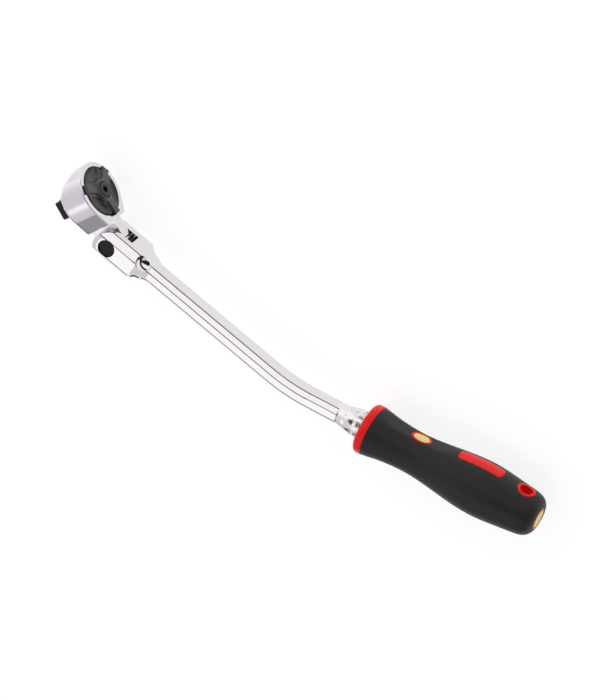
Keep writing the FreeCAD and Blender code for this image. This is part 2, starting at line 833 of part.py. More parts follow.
# ---------------------------------------------------------------- bar
def octagon(x, half_width, half_thick, bevel, round_off):
    """A bevelled and rounded rectangle across the bar at x, as a wire of eight lines and eight arcs."""
    w, t, c = half_width, half_thick, bevel
    corners = [V(x, w, c - t), V(x, w, t - c), V(x, w - c, t), V(x, c - w, t)]
    corners += [V(x, -p.y, -p.z) for p in corners]
    edges = []
    starts = []
    for n, corner in enumerate(corners):
        before = (corners[n - 1] - corner).normalize()
        after = (corners[(n + 1) % 8] - corner).normalize()
        half_turn = before.getAngle(after) / 2
        back = round_off / math.tan(half_turn)
        middle = (before + after).normalize()
        inward = round_off / math.sin(half_turn) - round_off
        starts.append((corner + before * back, corner + middle * inward, corner + after * back))
    for n in range(8):
        enter, peak, leave = starts[n]
        edges.append(Part.Arc(enter, peak, leave).toShape())
        edges.append(Part.makeLine(leave, starts[(n + 1) % 8][0]))
    return Part.Wire(edges)


def eased(low, high, share):
    """A smooth step from low to high."""
    return low + (high - low) * share * share * (3 - 2 * share)


def flare(x0, length, first, last, steps=4):
    """A loft that eases from one section to another."""
    wires = []
    for n in range(steps + 1):
        share = n / steps
        sizes = [eased(a, b, share) for a, b in zip(first, last)]
        wires.append(octagon(x0 + length * share, *sizes))
    return Part.makeLoft(wires, True, False)


def bar_blank():
    """The forging before machining: fork, flare, bent bar, boss and tang."""
    edge = D.edge_round.value
    fork = (HALF_FORK.value, D.fork_thick.value / 2, D.fork_bevel.value, edge)
    bar = (D.bar_width.value / 2, D.bar_thick.value / 2, D.bar_bevel.value, edge)
    radius = D.boss_half.value
    boss = (radius, radius, radius * (2 - math.sqrt(2)), radius * 0.9)
    block_end = D.fork_length.value
    prism = Part.Face(octagon(0, *fork)).extrude(V(block_end, 0, 0))
    cap = Part.Face(octagon(0, *fork)).common(Part.makeBox(2, 60, 60, V(-1, -30, 0)))
    cap = cap.revolve(V(0, 0, 0), V(0, 1, 0), -180)
    neck = flare(block_end, D.flare_length.value, fork, bar)
    start = block_end + D.flare_length.value
    angle = math.radians(D.bend_angle.value)
    tangent = D.bend_radius.value * math.tan(angle / 2)
    vertex = D.bend_reach.value
    arc_start = V(vertex - tangent, 0, 0)
    centre = arc_start + V(0, 0, D.bend_radius.value)
    along = V(math.cos(angle), 0, math.sin(angle))
    arc_end = V(vertex, 0, 0) + along * tangent
    half = angle / 2
    arc_middle = centre + V(math.sin(half), 0, -math.cos(half)) * D.bend_radius.value
    rear = D.rear_reach.value - D.boss_length.value - D.boss_flare.value
    bar_end = V(vertex, 0, 0) + along * rear
    path = Part.Wire(
        [
            Part.makeLine(V(start, 0, 0), arc_start),
            Part.Arc(arc_start, arc_middle, arc_end).toShape(),
            Part.makeLine(arc_end, bar_end),
        ]
    )
    bent = path.makePipeShell([octagon(start, *bar)], True, False)
    turn = FreeCAD.Placement(V(vertex, 0, 0), FreeCAD.Rotation(V(0, 1, 0), -D.bend_angle.value))
    swell = flare(rear, D.boss_flare.value, bar, boss)
    collar = Part.Face(octagon(rear + D.boss_flare.value, *boss)).extrude(V(D.boss_length.value, 0, 0))
    tang = Part.makeCylinder(D.tang_radius.value, TANG_LENGTH.value + 1, V(D.rear_reach.value - 1, 0, 0), V(1, 0, 0))
    back = [shape.transformed(turn.toMatrix()) for shape in (swell, collar, tang)]
    whole = prism.multiFuse([cap, neck, bent] + back)
    return solid(whole.removeSplitter(), "bar_blank")


def handle_bar():
    """The forging with its slot, pivot holes, plunger bore, ring grooves and roll-pin hole."""
    slot = fuse(
        block(EAR_R + 2, SLOT_WIDTH, D.fork_thick + 4, -EAR_R - 2, 0, -EAR_R - 2),
        common(
            cylinder(SLOT_ROOT, SLOT_WIDTH, 0, -HALF_SLOT, 0, "Y"),
            block(SLOT_ROOT + 2, SLOT_WIDTH + 2, D.fork_thick + 4, -1, 0, -EAR_R - 2),
        ),
    )
    tools = [
        slot,
        cylinder(PIN_HOLE, D.fork_width + 2, 0, -HALF_FORK - 1, 0, "Y"),
        cylinder(D.plunger_radius + D.running, D.plunger_bore + 1, SLOT_ROOT - 1, 0, 0, "X"),
    ]
    sink = D.pivot_sink + D.pivot_head_thick
    for y in (-HALF_FORK - 5, HALF_FORK - sink):
        tools.append(cylinder(D.pivot_head + D.running, sink + 5, 0, y, 0, "Y"))
    along = FreeCAD.Rotation(V(0, 1, 0), -D.bend_angle.value)
    vertex = V(D.bend_reach.value, 0, 0)
    rings = []
    for back in (3.2, 6.4):
        reach = D.rear_reach.value - back
        ring = Part.makeTorus(D.boss_half.value + 0.35, 0.75, V(reach, 0, 0), V(1, 0, 0))
        rings.append(ring)
    pin_reach = D.rear_reach.value + D.roll_pin_at.value
    rings.append(Part.makeCylinder(D.roll_pin_radius.value, 40, V(pin_reach, -20, 0), V(0, 1, 0)))
    turned_tools = Part.makeCompound(rings)
    turned_tools.Placement = FreeCAD.Placement(vertex, along)
    tools.append(solid(turned_tools, "rear_tools"))
    return piece(cut(bar_blank(), *tools), "handle_bar", "bar")


# ---------------------------------------------------------------- grip
def grip_sections(inset, stop):
    """Ellipses along the grip, inset from its outer skin, as named stations of its outline."""
    front, waist, belly, tail = (s.value for s in (D.grip_front, D.grip_waist, D.grip_belly, D.grip_tail))
    rise = (D.grip_belly_at - D.grip_waist_at).value
    fall = (D.grip_length - D.grip_belly_at).value
    start = D.ferrule_length.value
    stations = [
        (start, front),
        (eased(start, D.grip_waist_at.value, 0.5), eased(front, waist, 0.62)),
        (D.grip_waist_at.value, waist),
        (D.grip_waist_at.value + rise * 0.25, eased(waist, belly, 0.25)),
        (D.grip_waist_at.value + rise * 0.5, eased(waist, belly, 0.52)),
        (D.grip_waist_at.value + rise * 0.75, eased(waist, belly, 0.8)),
        (D.grip_belly_at.value, belly),
        (D.grip_belly_at.value + fall * 0.33, belly - (belly - tail) * 0.26),
        (D.grip_belly_at.value + fall * 0.66, belly - (belly - tail) * 0.6),
        (D.grip_length.value, tail),
    ]
    wires = []
    for x, radius in stations:
        if x > stop + 1e-6:
            continue
        wires.append(ellipse(x, radius - inset))
    return wires


def ellipse(x, radius):
    """A slightly flattened ring across the grip: wider along Y than it is thick along Z."""
    wide = radius * D.grip_wide.value
    thick = radius / D.grip_wide.value
    curve = Part.Ellipse(V(x, wide, 0), V(x, 0, thick), V(x, 0, 0))
    return Part.Wire(curve.toShape())


def grip_skin(inset):
    """The grip's loft, inset from its outer skin."""
    loft = Part.makeLoft(grip_sections(inset, D.grip_length.value), True, False)
    return loft


def window_tool(grow, height):
    """A rounded bar standing on the lever side, as long and wide as the window plus grow."""
    half = D.window_width.value / 2 + grow
    length = D.window_length.value + 2 * grow
    x0 = WINDOW_AT.value - length / 2
    bar = Part.makeBox(length, 2 * half, height, V(x0, -half, 4))
    edges = [edge for edge in bar.Edges if abs(edge.Length - height) < 1e-6]
    return bar.makeFillet(2.5, edges)


def badge_tool(grow, low, high):
    """An upright oval plug on the lever side at the waist."""
    curve = Part.Ellipse(
        V(D.badge_at.value + D.badge_length.value / 2 + grow, 0, low),
        V(D.badge_at.value, D.badge_width.value / 2 + grow, low),
        V(D.badge_at.value, 0, low),
    )
    return Part.Face(Part.Wire(curve.toShape())).extrude(V(0, 0, high - low))


def hang_tool(radius):
    """An upright cylinder through the tail of the grip."""
    return Part.makeCylinder(radius, 60, V(HANG_AT.value, 0, -30), V(0, 0, 1))


def grip_pieces():
    """The red core, the black rubber over it, and the two pale badges."""
    skin = grip_skin(0)
    tail_x = D.grip_length.value
    tail = [edge for edge in skin.Edges if edge.BoundBox.XMin > tail_x - 1e-3]
    skin = skin.makeFillet(D.grip_tail_round.value, tail)
    inner = grip_skin(D.rubber_wall.value)
    inner = inner.common(Part.makeBox(tail_x - D.rubber_wall.value, 60, 60, V(0, -30, -30)))
    flange = Part.Face(ellipse(0, D.ferrule_radius.value)).extrude(V(D.ferrule_length.value, 0, 0))
    rim = [edge for edge in flange.Edges if edge.BoundBox.XMax < 1e-3]
    flange = flange.makeFillet(1.6, rim)
    window = window_tool(0, 30).common(skin)
    oval = badge_tool(0, 6, 30).common(skin)
    tube = hang_tool(D.hang_radius.value + D.hang_wall.value).common(skin)
    butt = Part.makeCylinder(D.butt_radius.value + 1.6, 8, V(tail_x - 8, 0, 0), V(1, 0, 0)).common(skin)
    core = flange.multiFuse([inner, window, oval, tube, butt])
    badge_seat = badge_tool(-D.badge_border.value, 6, 30).cut(inner_skin_below_badge())
    butt_seat = Part.makeCylinder(D.butt_radius.value, 8, V(tail_x - D.butt_thick.value, 0, 0), V(1, 0, 0))
    bore = Part.makeCylinder(D.tang_radius.value + 0.05, TANG_LENGTH.value + 3.5, V(-3, 0, 0), V(1, 0, 0))
    pin_hole = Part.makeCylinder(D.roll_pin_radius.value, 24, V(D.roll_pin_at.value, -12, 0), V(0, 1, 0))
    core = core.cut(Part.makeCompound([bore, hang_tool(D.hang_radius.value), pin_hole]))
    core = core.cut(badge_seat).cut(butt_seat)
    hollow = flange.multiFuse([inner, window_tool(0, 30), badge_tool(0, 6, 30)])
    hollow = hollow.multiFuse([hang_tool(D.hang_radius.value + D.hang_wall.value)])
    rubber = skin.cut(hollow)
    rubber = rubber.cut(Part.makeCylinder(D.butt_radius.value + 1.6, 12, V(tail_x - 8, 0, 0), V(1, 0, 0)))
    piece(solid(core.removeSplitter(), "core"), "grip_core", "grip")
    piece(solid(rubber.removeSplitter(), "rubber"), "grip_rubber", "grip")
    badge = badge_tool(-D.badge_border.value, 6, 30).common(skin).cut(inner_skin_below_badge())
    piece(solid(badge, "badge"), "oval_badge", "grip")
    disc = Part.makeCylinder(D.butt_radius.value, D.butt_thick.value, V(tail_x - D.butt_thick.value, 0, 0), V(1, 0, 0))
    piece(solid(disc, "disc"), "butt_badge", "grip")
    pin = Part.makeCylinder(D.roll_pin_radius.value, 22, V(D.roll_pin_at.value, -11, 0), V(0, 1, 0))
    pin = pin.cut(Part.makeCylinder(D.roll_pin_radius.value - 0.5, 24, V(D.roll_pin_at.value, -12, 0), V(0, 1, 0)))
    piece(solid(pin, "pin"), "tang_roll_pin", "grip")


def inner_skin_below_badge():
    """The grip inset by the badge's thickness, which is what the badge stands on."""
    return grip_skin(D.badge_thick.value)


# ---------------------------------------------------------------- build and write
def main():
    head_body()
    cover_plate()
    lever_ring()
    reverse_lever()
    lever_details()
    pawl()
    pawl_leaf_spring()
    drive_gear()
    drive_details()
    pivot_pieces()
    plunger_pieces()
    handle_bar()
    grip_pieces()
    doc.recompute()
    for thing, label, frame in pieces:
        thing.Placement = FRAMES[frame].multiply(thing.Placement)
    doc.recompute()
    for thing in doc.Objects:
        if "Invalid" in thing.State or "Error" in thing.State:
            raise RuntimeError(f"{thing.Name} ({thing.Label}) failed: {thing.State}")
    os.makedirs("parts", exist_ok=True)
    for thing, label, frame in pieces:
        shape = thing.Shape
        if shape.isNull() or not shape.isValid() or not shape.Solids:
            raise RuntimeError(f"{label} has no valid solid")
        print(f"{label:22s} solids {len(shape.Solids)} volume {shape.Volume:10.1f} {shape.BoundBox}")
        shape.exportStep(f"parts/{label}.step")


main()
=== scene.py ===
"""A flex-head ratchet wrench on its side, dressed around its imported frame.

The wrench is made in three sub-assemblies: the forged handle, the head with its lever and release button,
and the two-colour grip. Each works in its own local frame, where X runs towards the butt and Z towards the
reversing lever, and each finished mesh is settled into the common frame, in metres.
"""

import json
import logging
import math
from collections.abc import Callable, Iterable, Iterator, Sequence
from contextlib import contextmanager
from dataclasses import dataclass, field
from enum import Enum
from typing import Any

import bmesh
import bpy
from mathutils import Matrix, Vector

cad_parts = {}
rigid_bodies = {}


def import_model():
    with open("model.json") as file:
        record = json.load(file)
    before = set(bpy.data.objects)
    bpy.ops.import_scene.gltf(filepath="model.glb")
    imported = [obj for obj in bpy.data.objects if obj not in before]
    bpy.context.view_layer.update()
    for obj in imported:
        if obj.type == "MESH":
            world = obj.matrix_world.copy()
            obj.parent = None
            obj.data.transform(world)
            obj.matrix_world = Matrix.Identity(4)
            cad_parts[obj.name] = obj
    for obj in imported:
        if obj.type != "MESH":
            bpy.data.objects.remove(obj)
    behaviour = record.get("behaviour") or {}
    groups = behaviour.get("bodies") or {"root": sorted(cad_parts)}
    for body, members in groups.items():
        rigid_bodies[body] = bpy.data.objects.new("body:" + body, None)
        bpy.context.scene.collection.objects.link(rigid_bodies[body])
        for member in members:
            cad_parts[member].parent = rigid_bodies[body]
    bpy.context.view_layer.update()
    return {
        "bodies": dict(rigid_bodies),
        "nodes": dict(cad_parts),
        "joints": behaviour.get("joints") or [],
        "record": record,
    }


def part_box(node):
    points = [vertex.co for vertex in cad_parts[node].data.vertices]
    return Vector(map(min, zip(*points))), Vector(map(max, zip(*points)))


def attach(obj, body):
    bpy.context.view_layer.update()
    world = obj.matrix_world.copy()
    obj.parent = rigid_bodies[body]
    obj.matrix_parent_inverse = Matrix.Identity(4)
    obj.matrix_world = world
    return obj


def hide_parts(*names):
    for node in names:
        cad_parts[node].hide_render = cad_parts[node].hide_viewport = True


LOG = logging.getLogger("wrench")
MM = 0.001
DOUBLE = 1e-6  # vertices nearer than this are one
PAST = 30 * MM  # takes a cutting tool past any skin
Point = tuple[float, float, float]
Colour = tuple[float, float, float]
Section = tuple[float, float, float]
Thing = bpy.types.Object


class Body(Enum):
    """The rigid bodies that the modelled pieces ride on."""

    HANDLE = "handle"
    LEVER = "lever"
    RELEASE = "release"


# ---------------------------------------------------------------- shader graph
class Wire:
    """A shader socket on which arithmetic makes Math nodes."""

    def __init__(self, graph: "Graph", socket: bpy.types.NodeSocket) -> None:
        """Wraps a socket.

        Args:
            graph: the graph the socket belongs to.
            socket: the output socket to wrap.
        """
        self.graph = graph
        self.socket = socket

    def _math(self, operation: str, *values: Any) -> "Wire":
        """Adds a Math node over the given values."""
        return self.graph.node("ShaderNodeMath", {"operation": operation}, dict(enumerate(values)))

    def __add__(self, other: Any) -> "Wire":
        """Adds."""
        return self._math("ADD", self, other)

    __radd__ = __add__

    def __sub__(self, other: Any) -> "Wire":
        """Subtracts."""
        return self._math("SUBTRACT", self, other)

    def __rsub__(self, other: Any) -> "Wire":
        """Subtracts from a number."""
        return self._math("SUBTRACT", other, self)

    def __mul__(self, other: Any) -> "Wire":
        """Multiplies."""
        return self._math("MULTIPLY", self, other)

    __rmul__ = __mul__

    def __abs__(self) -> "Wire":
        """Takes the absolute value."""
        return self._math("ABSOLUTE", self)

    def atan2(self, other: Any) -> "Wire":
        """Takes the angle of (other, self)."""
        return self._math("ARCTAN2", self, other)

    def eased(self, low: float, high: float) -> "Wire":
        """Steps smoothly from 0 at low to 1 at high.

        Args:
            low: where the step starts.
            high: where it ends; below low, the step falls.

        Returns:
            The eased value, from 0 to 1.
        """
        ends = (low, high, 0.0, 1.0) if low < high else (high, low, 1.0, 0.0)
        inputs = {"Value": self, **dict(zip(("From Min", "From Max", "To Min", "To Max"), ends))}
        return self.graph.node("ShaderNodeMapRange", {"interpolation_type": "SMOOTHSTEP"}, inputs)


class Graph:
    """A node tree, with one method that adds any node."""

    def __init__(self, tree: bpy.types.NodeTree) -> None:
        """Empties a node tree and wraps it.

        Args:
            tree: the tree to fill.
        """
        tree.nodes.clear()
        self.tree = tree

    def node(self, kind: str, settings: dict[str, Any] | None = None, inputs: dict[Any, Any] | None = None,
             output: Any = 0) -> Wire:
        """Adds a node.

        Args:
            kind: the node's type name.
            settings: properties, set before the sockets.
            inputs: values or links by socket name or number.
            output: the output socket to return.

        Returns:
            The chosen output, or the node's first.
        """
        made = self.tree.nodes.new(kind)
        for name, value in (settings or {}).items():
            setattr(made, name, value)
        for name, value in (inputs or {}).items():
            if isinstance(value, Wire):
                self.tree.links.new(value.socket, made.inputs[name])
            else:
                made.inputs[name].default_value = value
        return Wire(self, made.outputs[output]) if made.outputs else Wire(self, None)

    def coordinates(self, kind: str = "Object") -> Wire:
        """Gives one of the texture coordinates."""
        return self.node("ShaderNodeTexCoord", output=kind)

    def stretched(self, vector: Wire, scale: Point, turn: Point = (0, 0, 0)) -> Wire:
        """Turns and scales coordinates.

        Args:
            vector: the coordinates.
            scale: the scale along each axis.
            turn: the turn about each axis, in radians.

        Returns:
            The mapped coordinates.
        """
        return self.node("ShaderNodeMapping", inputs={"Vector": vector, "Scale": scale, "Rotation": turn})

    def noise(self, vector: Wire, scale: float, detail: float = 4.0, roughness: float = 0.55) -> Wire:
        """Gives cloud noise from 0 to 1.

        Args:
            vector: the coordinates.
            scale: blotches per metre.
            detail: octaves.
            roughness: how strong the fine octaves are.

        Returns:
            The noise's factor.
        """
        inputs = {"Vector": vector, "Scale": scale, "Detail": detail, "Roughness": roughness}
        return self.node("ShaderNodeTexNoise", inputs=inputs)

    def blend(self, share: Wire, low: Any, high: Any) -> Wire:
        """Mixes two colours.

        Args:
            share: 0 for low, 1 for high.
            low: a colour or a link.
            high: a colour or a link.

        Returns:
            The mixed colour.
        """
        made = self.tree.nodes.new("ShaderNodeMix")
        made.data_type = "RGBA"
        self.tree.links.new(share.socket, made.inputs[0])
        for index, value in ((6, low), (7, high)):
            if isinstance(value, Wire):
                self.tree.links.new(value.socket, made.inputs[index])
            else:
                made.inputs[index].default_value = (*value, 1.0)
        return Wire(self, made.outputs[2])

    def bump(self, height: Wire, strength: float, distance: float) -> Wire:
        """Makes a bumped normal.

        Args:
            height: the height field.
            strength: 0 to 1.
            distance: the height of 1, in metres.

        Returns:
            The normal.
        """
        inputs = {"Height": height, "Strength": strength, "Distance": distance}
        return self.node("ShaderNodeBump", inputs=inputs)


# ---------------------------------------------------------------- finishes
@dataclass(frozen=True)
class Finish:
    """A surface finish that makes one procedural material.

    Attributes:
        name: the material's name.
        colour: the main colour.
        metallic: 0 or 1.
        rough: the mean roughness.
        specular: the dielectric's reflectance level.
        coat: clear coat weight.
    """

    name: str
    colour: Colour
    metallic: float = 0.0
    rough: float = 0.5
    specular: float = 0.5
    coat: float = 0.0

    def surface(self, graph: Graph) -> dict[str, Any]:
        """Gives what varies over the surface, by shader socket.

        Args:
            graph: the material's graph.

        Returns:
            Links for Base Color, Roughness and Normal.
        """
        place = graph.coordinates()
        cloud = graph.noise(place, 60.0)
        dark = tuple(0.86 * c for c in self.colour)
        return {
            "Base Color": graph.blend(cloud, dark, self.colour),
            "Roughness": self.rough + (cloud - 0.5) * 0.1,
            "Normal": graph.bump(graph.noise(place, 900.0), 0.1, 0.0002),
        }

    def material(self) -> bpy.types.Material:
        """Makes the material, or finds it if it is there.

        Returns:
            The material.
        """
        name = f"finish_{self.name}"
        found = bpy.data.materials.get(name)
        if found:
            return found
        made = bpy.data.materials.new(name)
        made.use_nodes = True
        graph = Graph(made.node_tree)
        inputs = {"Metallic": self.metallic, "Specular IOR Level": self.specular, "Coat Weight": self.coat}
        inputs.update(self.surface(graph))
        shader = graph.node("ShaderNodeBsdfPrincipled", inputs=inputs)
        graph.node("ShaderNodeOutputMaterial", inputs={"Surface": shader})
        return made


@dataclass(frozen=True)
class Plated(Finish):
    """Bright plating with faint smears, hairline scratches and polishing waves."""

    def surface(self, graph: Graph) -> dict[str, Any]:
        """Gives smears in roughness and colour, and hairlines in the bump."""
        place = graph.coordinates()
        smear = graph.noise(place, 38.0, 6.0, 0.6)
        hair = graph.noise(graph.stretched(place, (30.0, 1400.0, 1400.0), (0.0, 0.0, -0.35)), 2.0, 3.0, 0.7)
        wave = graph.noise(place, 55.0, 1.0)
        dull = smear.eased(0.55, 0.8)
        return {
            "Base Color": graph.blend(dull, self.colour, tuple(0.93 * c for c in self.colour)),
            "Roughness": self.rough + dull * 0.05 + hair * 0.02,
            "Normal": graph.bump(hair * 0.15 + wave, 0.06, 0.0006),
        }


@dataclass(frozen=True)
class Blacked(Finish):
    """Oiled black steel, rubbed paler in patches."""

    worn: Colour = (0.16, 0.155, 0.15)

    def surface(self, graph: Graph) -> dict[str, Any]:
        """Gives a patchy black with paler rubbed places and a turned grain."""
        place = graph.coordinates()
        patch = graph.noise(place, 160.0, 6.0, 0.65)
        rubbed = patch.eased(0.6, 0.74)
        grain = graph.noise(place, 2600.0, 3.0)
        return {
            "Base Color": graph.blend(rubbed * 0.6, self.colour, self.worn),
            "Roughness": self.rough - rubbed * 0.12 + grain * 0.06,
            "Normal": graph.bump(grain + patch * 0.5, 0.18, 0.00015),
        }


@dataclass(frozen=True)
class Ground(Finish):
    """Ground or drawn steel with a fine grain one way."""

    grain: Point = (200.0, 2400.0, 2400.0)

    def surface(self, graph: Graph) -> dict[str, Any]:
        """Gives a streaked colour, roughness and bump along the grain."""
        place = graph.coordinates()
        streak = graph.noise(graph.stretched(place, self.grain), 1.0, 5.0, 0.7)
        stain = graph.noise(place, 90.0, 4.0)
        return {
            "Base Color": graph.blend(stain * streak, self.colour, tuple(0.7 * c for c in self.colour)),
            "Roughness": self.rough + (streak - 0.5) * 0.18,
            "Normal": graph.bump(streak, 0.15, 0.00008),
        }


@dataclass(frozen=True)
class Moulded(Finish):
    """Moulded plastic or rubber with a fine sparked grain and faint scuffs."""

    grain: float = 2200.0
    depth: float = 0.00012
    scuff: Colour = (0.1, 0.1, 0.1)
    scuffed: float = 0.25

    def surface(self, graph: Graph) -> dict[str, Any]:
        """Gives a pebbled bump, cloudy roughness and pale scuffs."""
        place = graph.coordinates()
        pebble = graph.node(
            "ShaderNodeTexVoronoi",
            {"feature": "SMOOTH_F1"},
            {"Vector": place, "Scale": self.grain, "Smoothness": 0.6},
        )
        cloud = graph.noise(place, 45.0, 5.0, 0.6)
        rub = graph.noise(graph.stretched(place, (260.0, 700.0, 420.0), (0.3, 0.2, 0.5)), 1.0, 6.0, 0.75)
        scuff = rub.eased(0.62, 0.8) * self.scuffed
        dark = tuple(0.85 * c for c in self.colour)
        return {
            "Base Color": graph.blend(scuff, graph.blend(cloud, dark, self.colour), self.scuff),
            "Roughness": self.rough + (cloud - 0.5) * 0.12 + scuff * 0.2,
            "Normal": graph.bump(pebble + rub * 0.3, 0.35, self.depth),
        }


CHROME = Plated("polished_plating", (0.75, 0.745, 0.74), 1.0, 0.05)
NECK = Plated("neck_plating", (0.78, 0.775, 0.77), 1.0, 0.2)
# The head's plating is partly real and partly painted light. The satin finish is real: it is rougher than the
# bar's. Its darker violet-grey base colour is a painted reflection of the mauve sky, not the metal's own
# colour.
SATIN_PAINTED_REFLECTION = Plated("satin_plating_painted_reflection", (0.74, 0.72, 0.755), 1.0, 0.16)
BLACK = Blacked("black_steel", (0.012, 0.012, 0.012), 0.6, 0.34)
DARK = Blacked("dark_steel", (0.05, 0.05, 0.052), 0.8, 0.36)
STEEL = Ground("ground_steel", (0.62, 0.6, 0.56), 1.0, 0.24)
SPRING = Ground("spring_wire", (0.4, 0.4, 0.4), 1.0, 0.3, grain=(900.0, 900.0, 900.0))
LEVER = Moulded("lever_plastic", (0.034, 0.034, 0.029), 0.0, 0.34, 0.75, grain=1500.0,
                scuff=(0.09, 0.085, 0.07))
RUBBER = Moulded("grip_rubber", (0.021, 0.021, 0.019), 0.0, 0.52, 0.26, grain=1300.0, depth=0.0002,
                 scuff=(0.045, 0.045, 0.044))
RED = Moulded("red_plastic", (0.93, 0.013, 0.010), 0.0, 0.36, 0.2, grain=2600.0, depth=0.00004,
              scuff=(0.95, 0.04, 0.03))
CREAM = Moulded("cream_plastic", (0.93, 0.83, 0.28), 0.0, 0.4, 0.3, grain=2600.0, depth=0.00004,
                scuff=(0.85, 0.7, 0.3))


# ---------------------------------------------------------------- modelling bench
class Bench:
    """Modelling moves shared by every sub-assembly, all through operators."""

    @staticmethod
    def clear() -> None:
        """Leaves edit mode and deselects everything."""
        if bpy.context.object and bpy.context.object.mode != "OBJECT":
            bpy.ops.object.mode_set(mode="OBJECT")
        bpy.ops.object.select_all(action="DESELECT")

    @staticmethod
    def only(thing: Thing) -> None:
        """Selects one object and makes it active."""
        Bench.clear()
        thing.select_set(True)
        bpy.context.view_layer.objects.active = thing

    @staticmethod
    @contextmanager
    def editing(thing: Thing) -> Iterator[None]:
        """Keeps one object in edit mode for the length of a block."""
        Bench.only(thing)
        bpy.ops.object.mode_set(mode="EDIT")
        yield
        bpy.ops.object.mode_set(mode="OBJECT")

    @staticmethod
    def take(name: str) -> Thing:
        """Names the object that a primitive operator has just made.

        Args:
            name: the new name.

        Returns:
            The object.
        """
        thing = bpy.context.object
        thing.name = thing.data.name = name
        return thing

    @staticmethod
    def cylinder(name: str, radius: float, low: Point, high: Point, segments: int = 64) -> Thing:
        """Adds a closed cylinder between two points.

        Args:
            name: the object's name.
            radius: its radius.
            low: the centre of one end.
            high: the centre of the other.
            segments: sides.

        Returns:
            The object.
        """
        Bench.clear()
        span = Vector(high) - Vector(low)
        bpy.ops.mesh.primitive_cylinder_add(
            vertices=segments,
            radius=radius,
            depth=span.length,
            location=(Vector(low) + Vector(high)) / 2,
            rotation=span.to_track_quat("Z", "Y").to_euler(),
        )
        thing = Bench.take(name)
        Bench.bake(thing)
        return thing

    @staticmethod
    def block(name: str, low: Point, high: Point) -> Thing:
        """Adds a box between two corners.

        Args:
            name: the object's name.
            low: the lowest corner.
            high: the highest corner.

        Returns:
            The object.
        """
        Bench.clear()
        middle = (Vector(low) + Vector(high)) / 2
        bpy.ops.mesh.primitive_cube_add(size=1.0, location=middle, scale=Vector(high) - Vector(low))
        thing = Bench.take(name)
        Bench.bake(thing)
        return thing

    @staticmethod
    def pebble(name: str, centre: Point, reach: Point, turn: Point = (0, 0, 0)) -> Thing:
        """Adds an ellipsoid.

        Args:
            name: the object's name.
            centre: its centre.
            reach: its half-axes.
            turn: its turn about each axis, in radians.

        Returns:
            The object.
        """
        Bench.clear()
        bpy.ops.mesh.primitive_uv_sphere_add(segments=48, ring_count=24, location=centre, rotation=turn)
        thing = Bench.take(name)
        thing.scale = reach
        Bench.bake(thing)
        return thing

    @staticmethod
    def bake(thing: Thing) -> None:
        """Applies an object's place, turn and scale to its mesh."""
        Bench.only(thing)
        bpy.ops.object.transform_apply(location=True, rotation=True, scale=True)

    @staticmethod
    def lay(thing: Thing) -> None:
        """Lays a solid that stands on Z along X."""
        thing.matrix_world = Matrix.Rotation(math.pi / 2, 4, "Y")
        Bench.bake(thing)

    @staticmethod
    def turned(name: str, profile: Sequence[tuple[float, float]], steps: int = 96) -> Thing:
        """Turns a closed profile of radius and height about Z.

        Args:
            name: the object's name.
            profile: corners as (radius, height), in metres.
            steps: sides.

        Returns:
            The object.
        """
        Bench.clear()
        bpy.ops.mesh.primitive_plane_add(size=MM)
        thing = Bench.take(name)
        bpy.ops.object.mode_set(mode="EDIT")
        bpy.ops.mesh.select_mode(type="VERT")
        bpy.ops.mesh.select_all(action="SELECT")
        bpy.ops.mesh.merge(type="COLLAPSE")
        first = profile[0]
        bpy.ops.transform.translate(value=(first[0], 0.0, first[1]))
        for before, after in zip(profile, profile[1:]):
            step = (after[0] - before[0], 0.0, after[1] - before[1])
            bpy.ops.mesh.extrude_vertices_move(TRANSFORM_OT_translate={"value": step})
        if first[0] > 0 and profile[-1][0] > 0:
            Bench.pick(thing, verts=lambda v: len(v.link_edges) < 2)
            bpy.ops.mesh.edge_face_add()
        bpy.ops.mesh.select_all(action="SELECT")
        bpy.ops.mesh.spin(steps=steps, angle=2 * math.pi, center=(0, 0, 0), axis=(0, 0, 1))
        Bench.sew(thing)
        return thing

    @staticmethod
    def pick(thing: Thing, verts: Callable | None = None, edges: Callable | None = None,
             faces: Callable | None = None) -> int:
        """Selects parts of the mesh in edit mode.

        Args:
            thing: the object being edited.
            verts: a test of each vertex.
            edges: a test of each edge.
            faces: a test of each face.

        Returns:
            How many parts passed their test.
        """
        kind = "VERT" if verts else "EDGE" if edges else "FACE"
        bpy.ops.mesh.select_mode(type=kind)
        bpy.ops.mesh.select_all(action="DESELECT")
        mesh = bmesh.from_edit_mesh(thing.data)
        parts = mesh.verts if verts else mesh.edges if edges else mesh.faces
        chosen = [part for part in parts if (verts or edges or faces)(part)]
        for part in chosen:
            part.select_set(True)
        mesh.select_flush_mode()
        bmesh.update_edit_mesh(thing.data)
        return len(chosen)

    @staticmethod
    def lean(edge: bmesh.types.BMEdge) -> Vector:
        """Gives how far an edge leans along each axis, from 0 to 1."""
        way = (edge.verts[0].co - edge.verts[1].co).normalized()
        return Vector([abs(share) for share in way])

    @staticmethod
    def sew(thing: Thing) -> None:
        """Merges doubles and turns every face outwards, from any mode."""
        with Bench.editing(thing):
            bpy.ops.mesh.select_mode(type="VERT")
            bpy.ops.mesh.select_all(action="SELECT")
            bpy.ops.mesh.remove_doubles(threshold=DOUBLE)
            bpy.ops.mesh.normals_make_consistent(inside=False)

    @staticmethod
    def modify(thing: Thing, kind: str, **settings: Any) -> None:
        """Adds a modifier and applies it.

        Args:
            thing: the object.
            kind: the modifier's type.
            **settings: its properties.
        """
        Bench.only(thing)
        made = thing.modifiers.new(kind.lower(), kind)
        for name, value in settings.items():
            setattr(made, name, value)
        bpy.ops.object.modifier_apply(modifier=made.name)

    @staticmethod
    def join(base: Thing, operation: str, *tools: Thing) -> None:
        """Combines solids with a Boolean and removes the tools.

        Args:
            base: the solid that stays.
            operation: UNION, DIFFERENCE or INTERSECT.
            *tools: the solids applied to it.
        """
        for tool in tools:
            Bench.modify(base, "BOOLEAN", operation=operation, object=tool, solver="EXACT")
            bpy.data.objects.remove(tool, do_unlink=True)

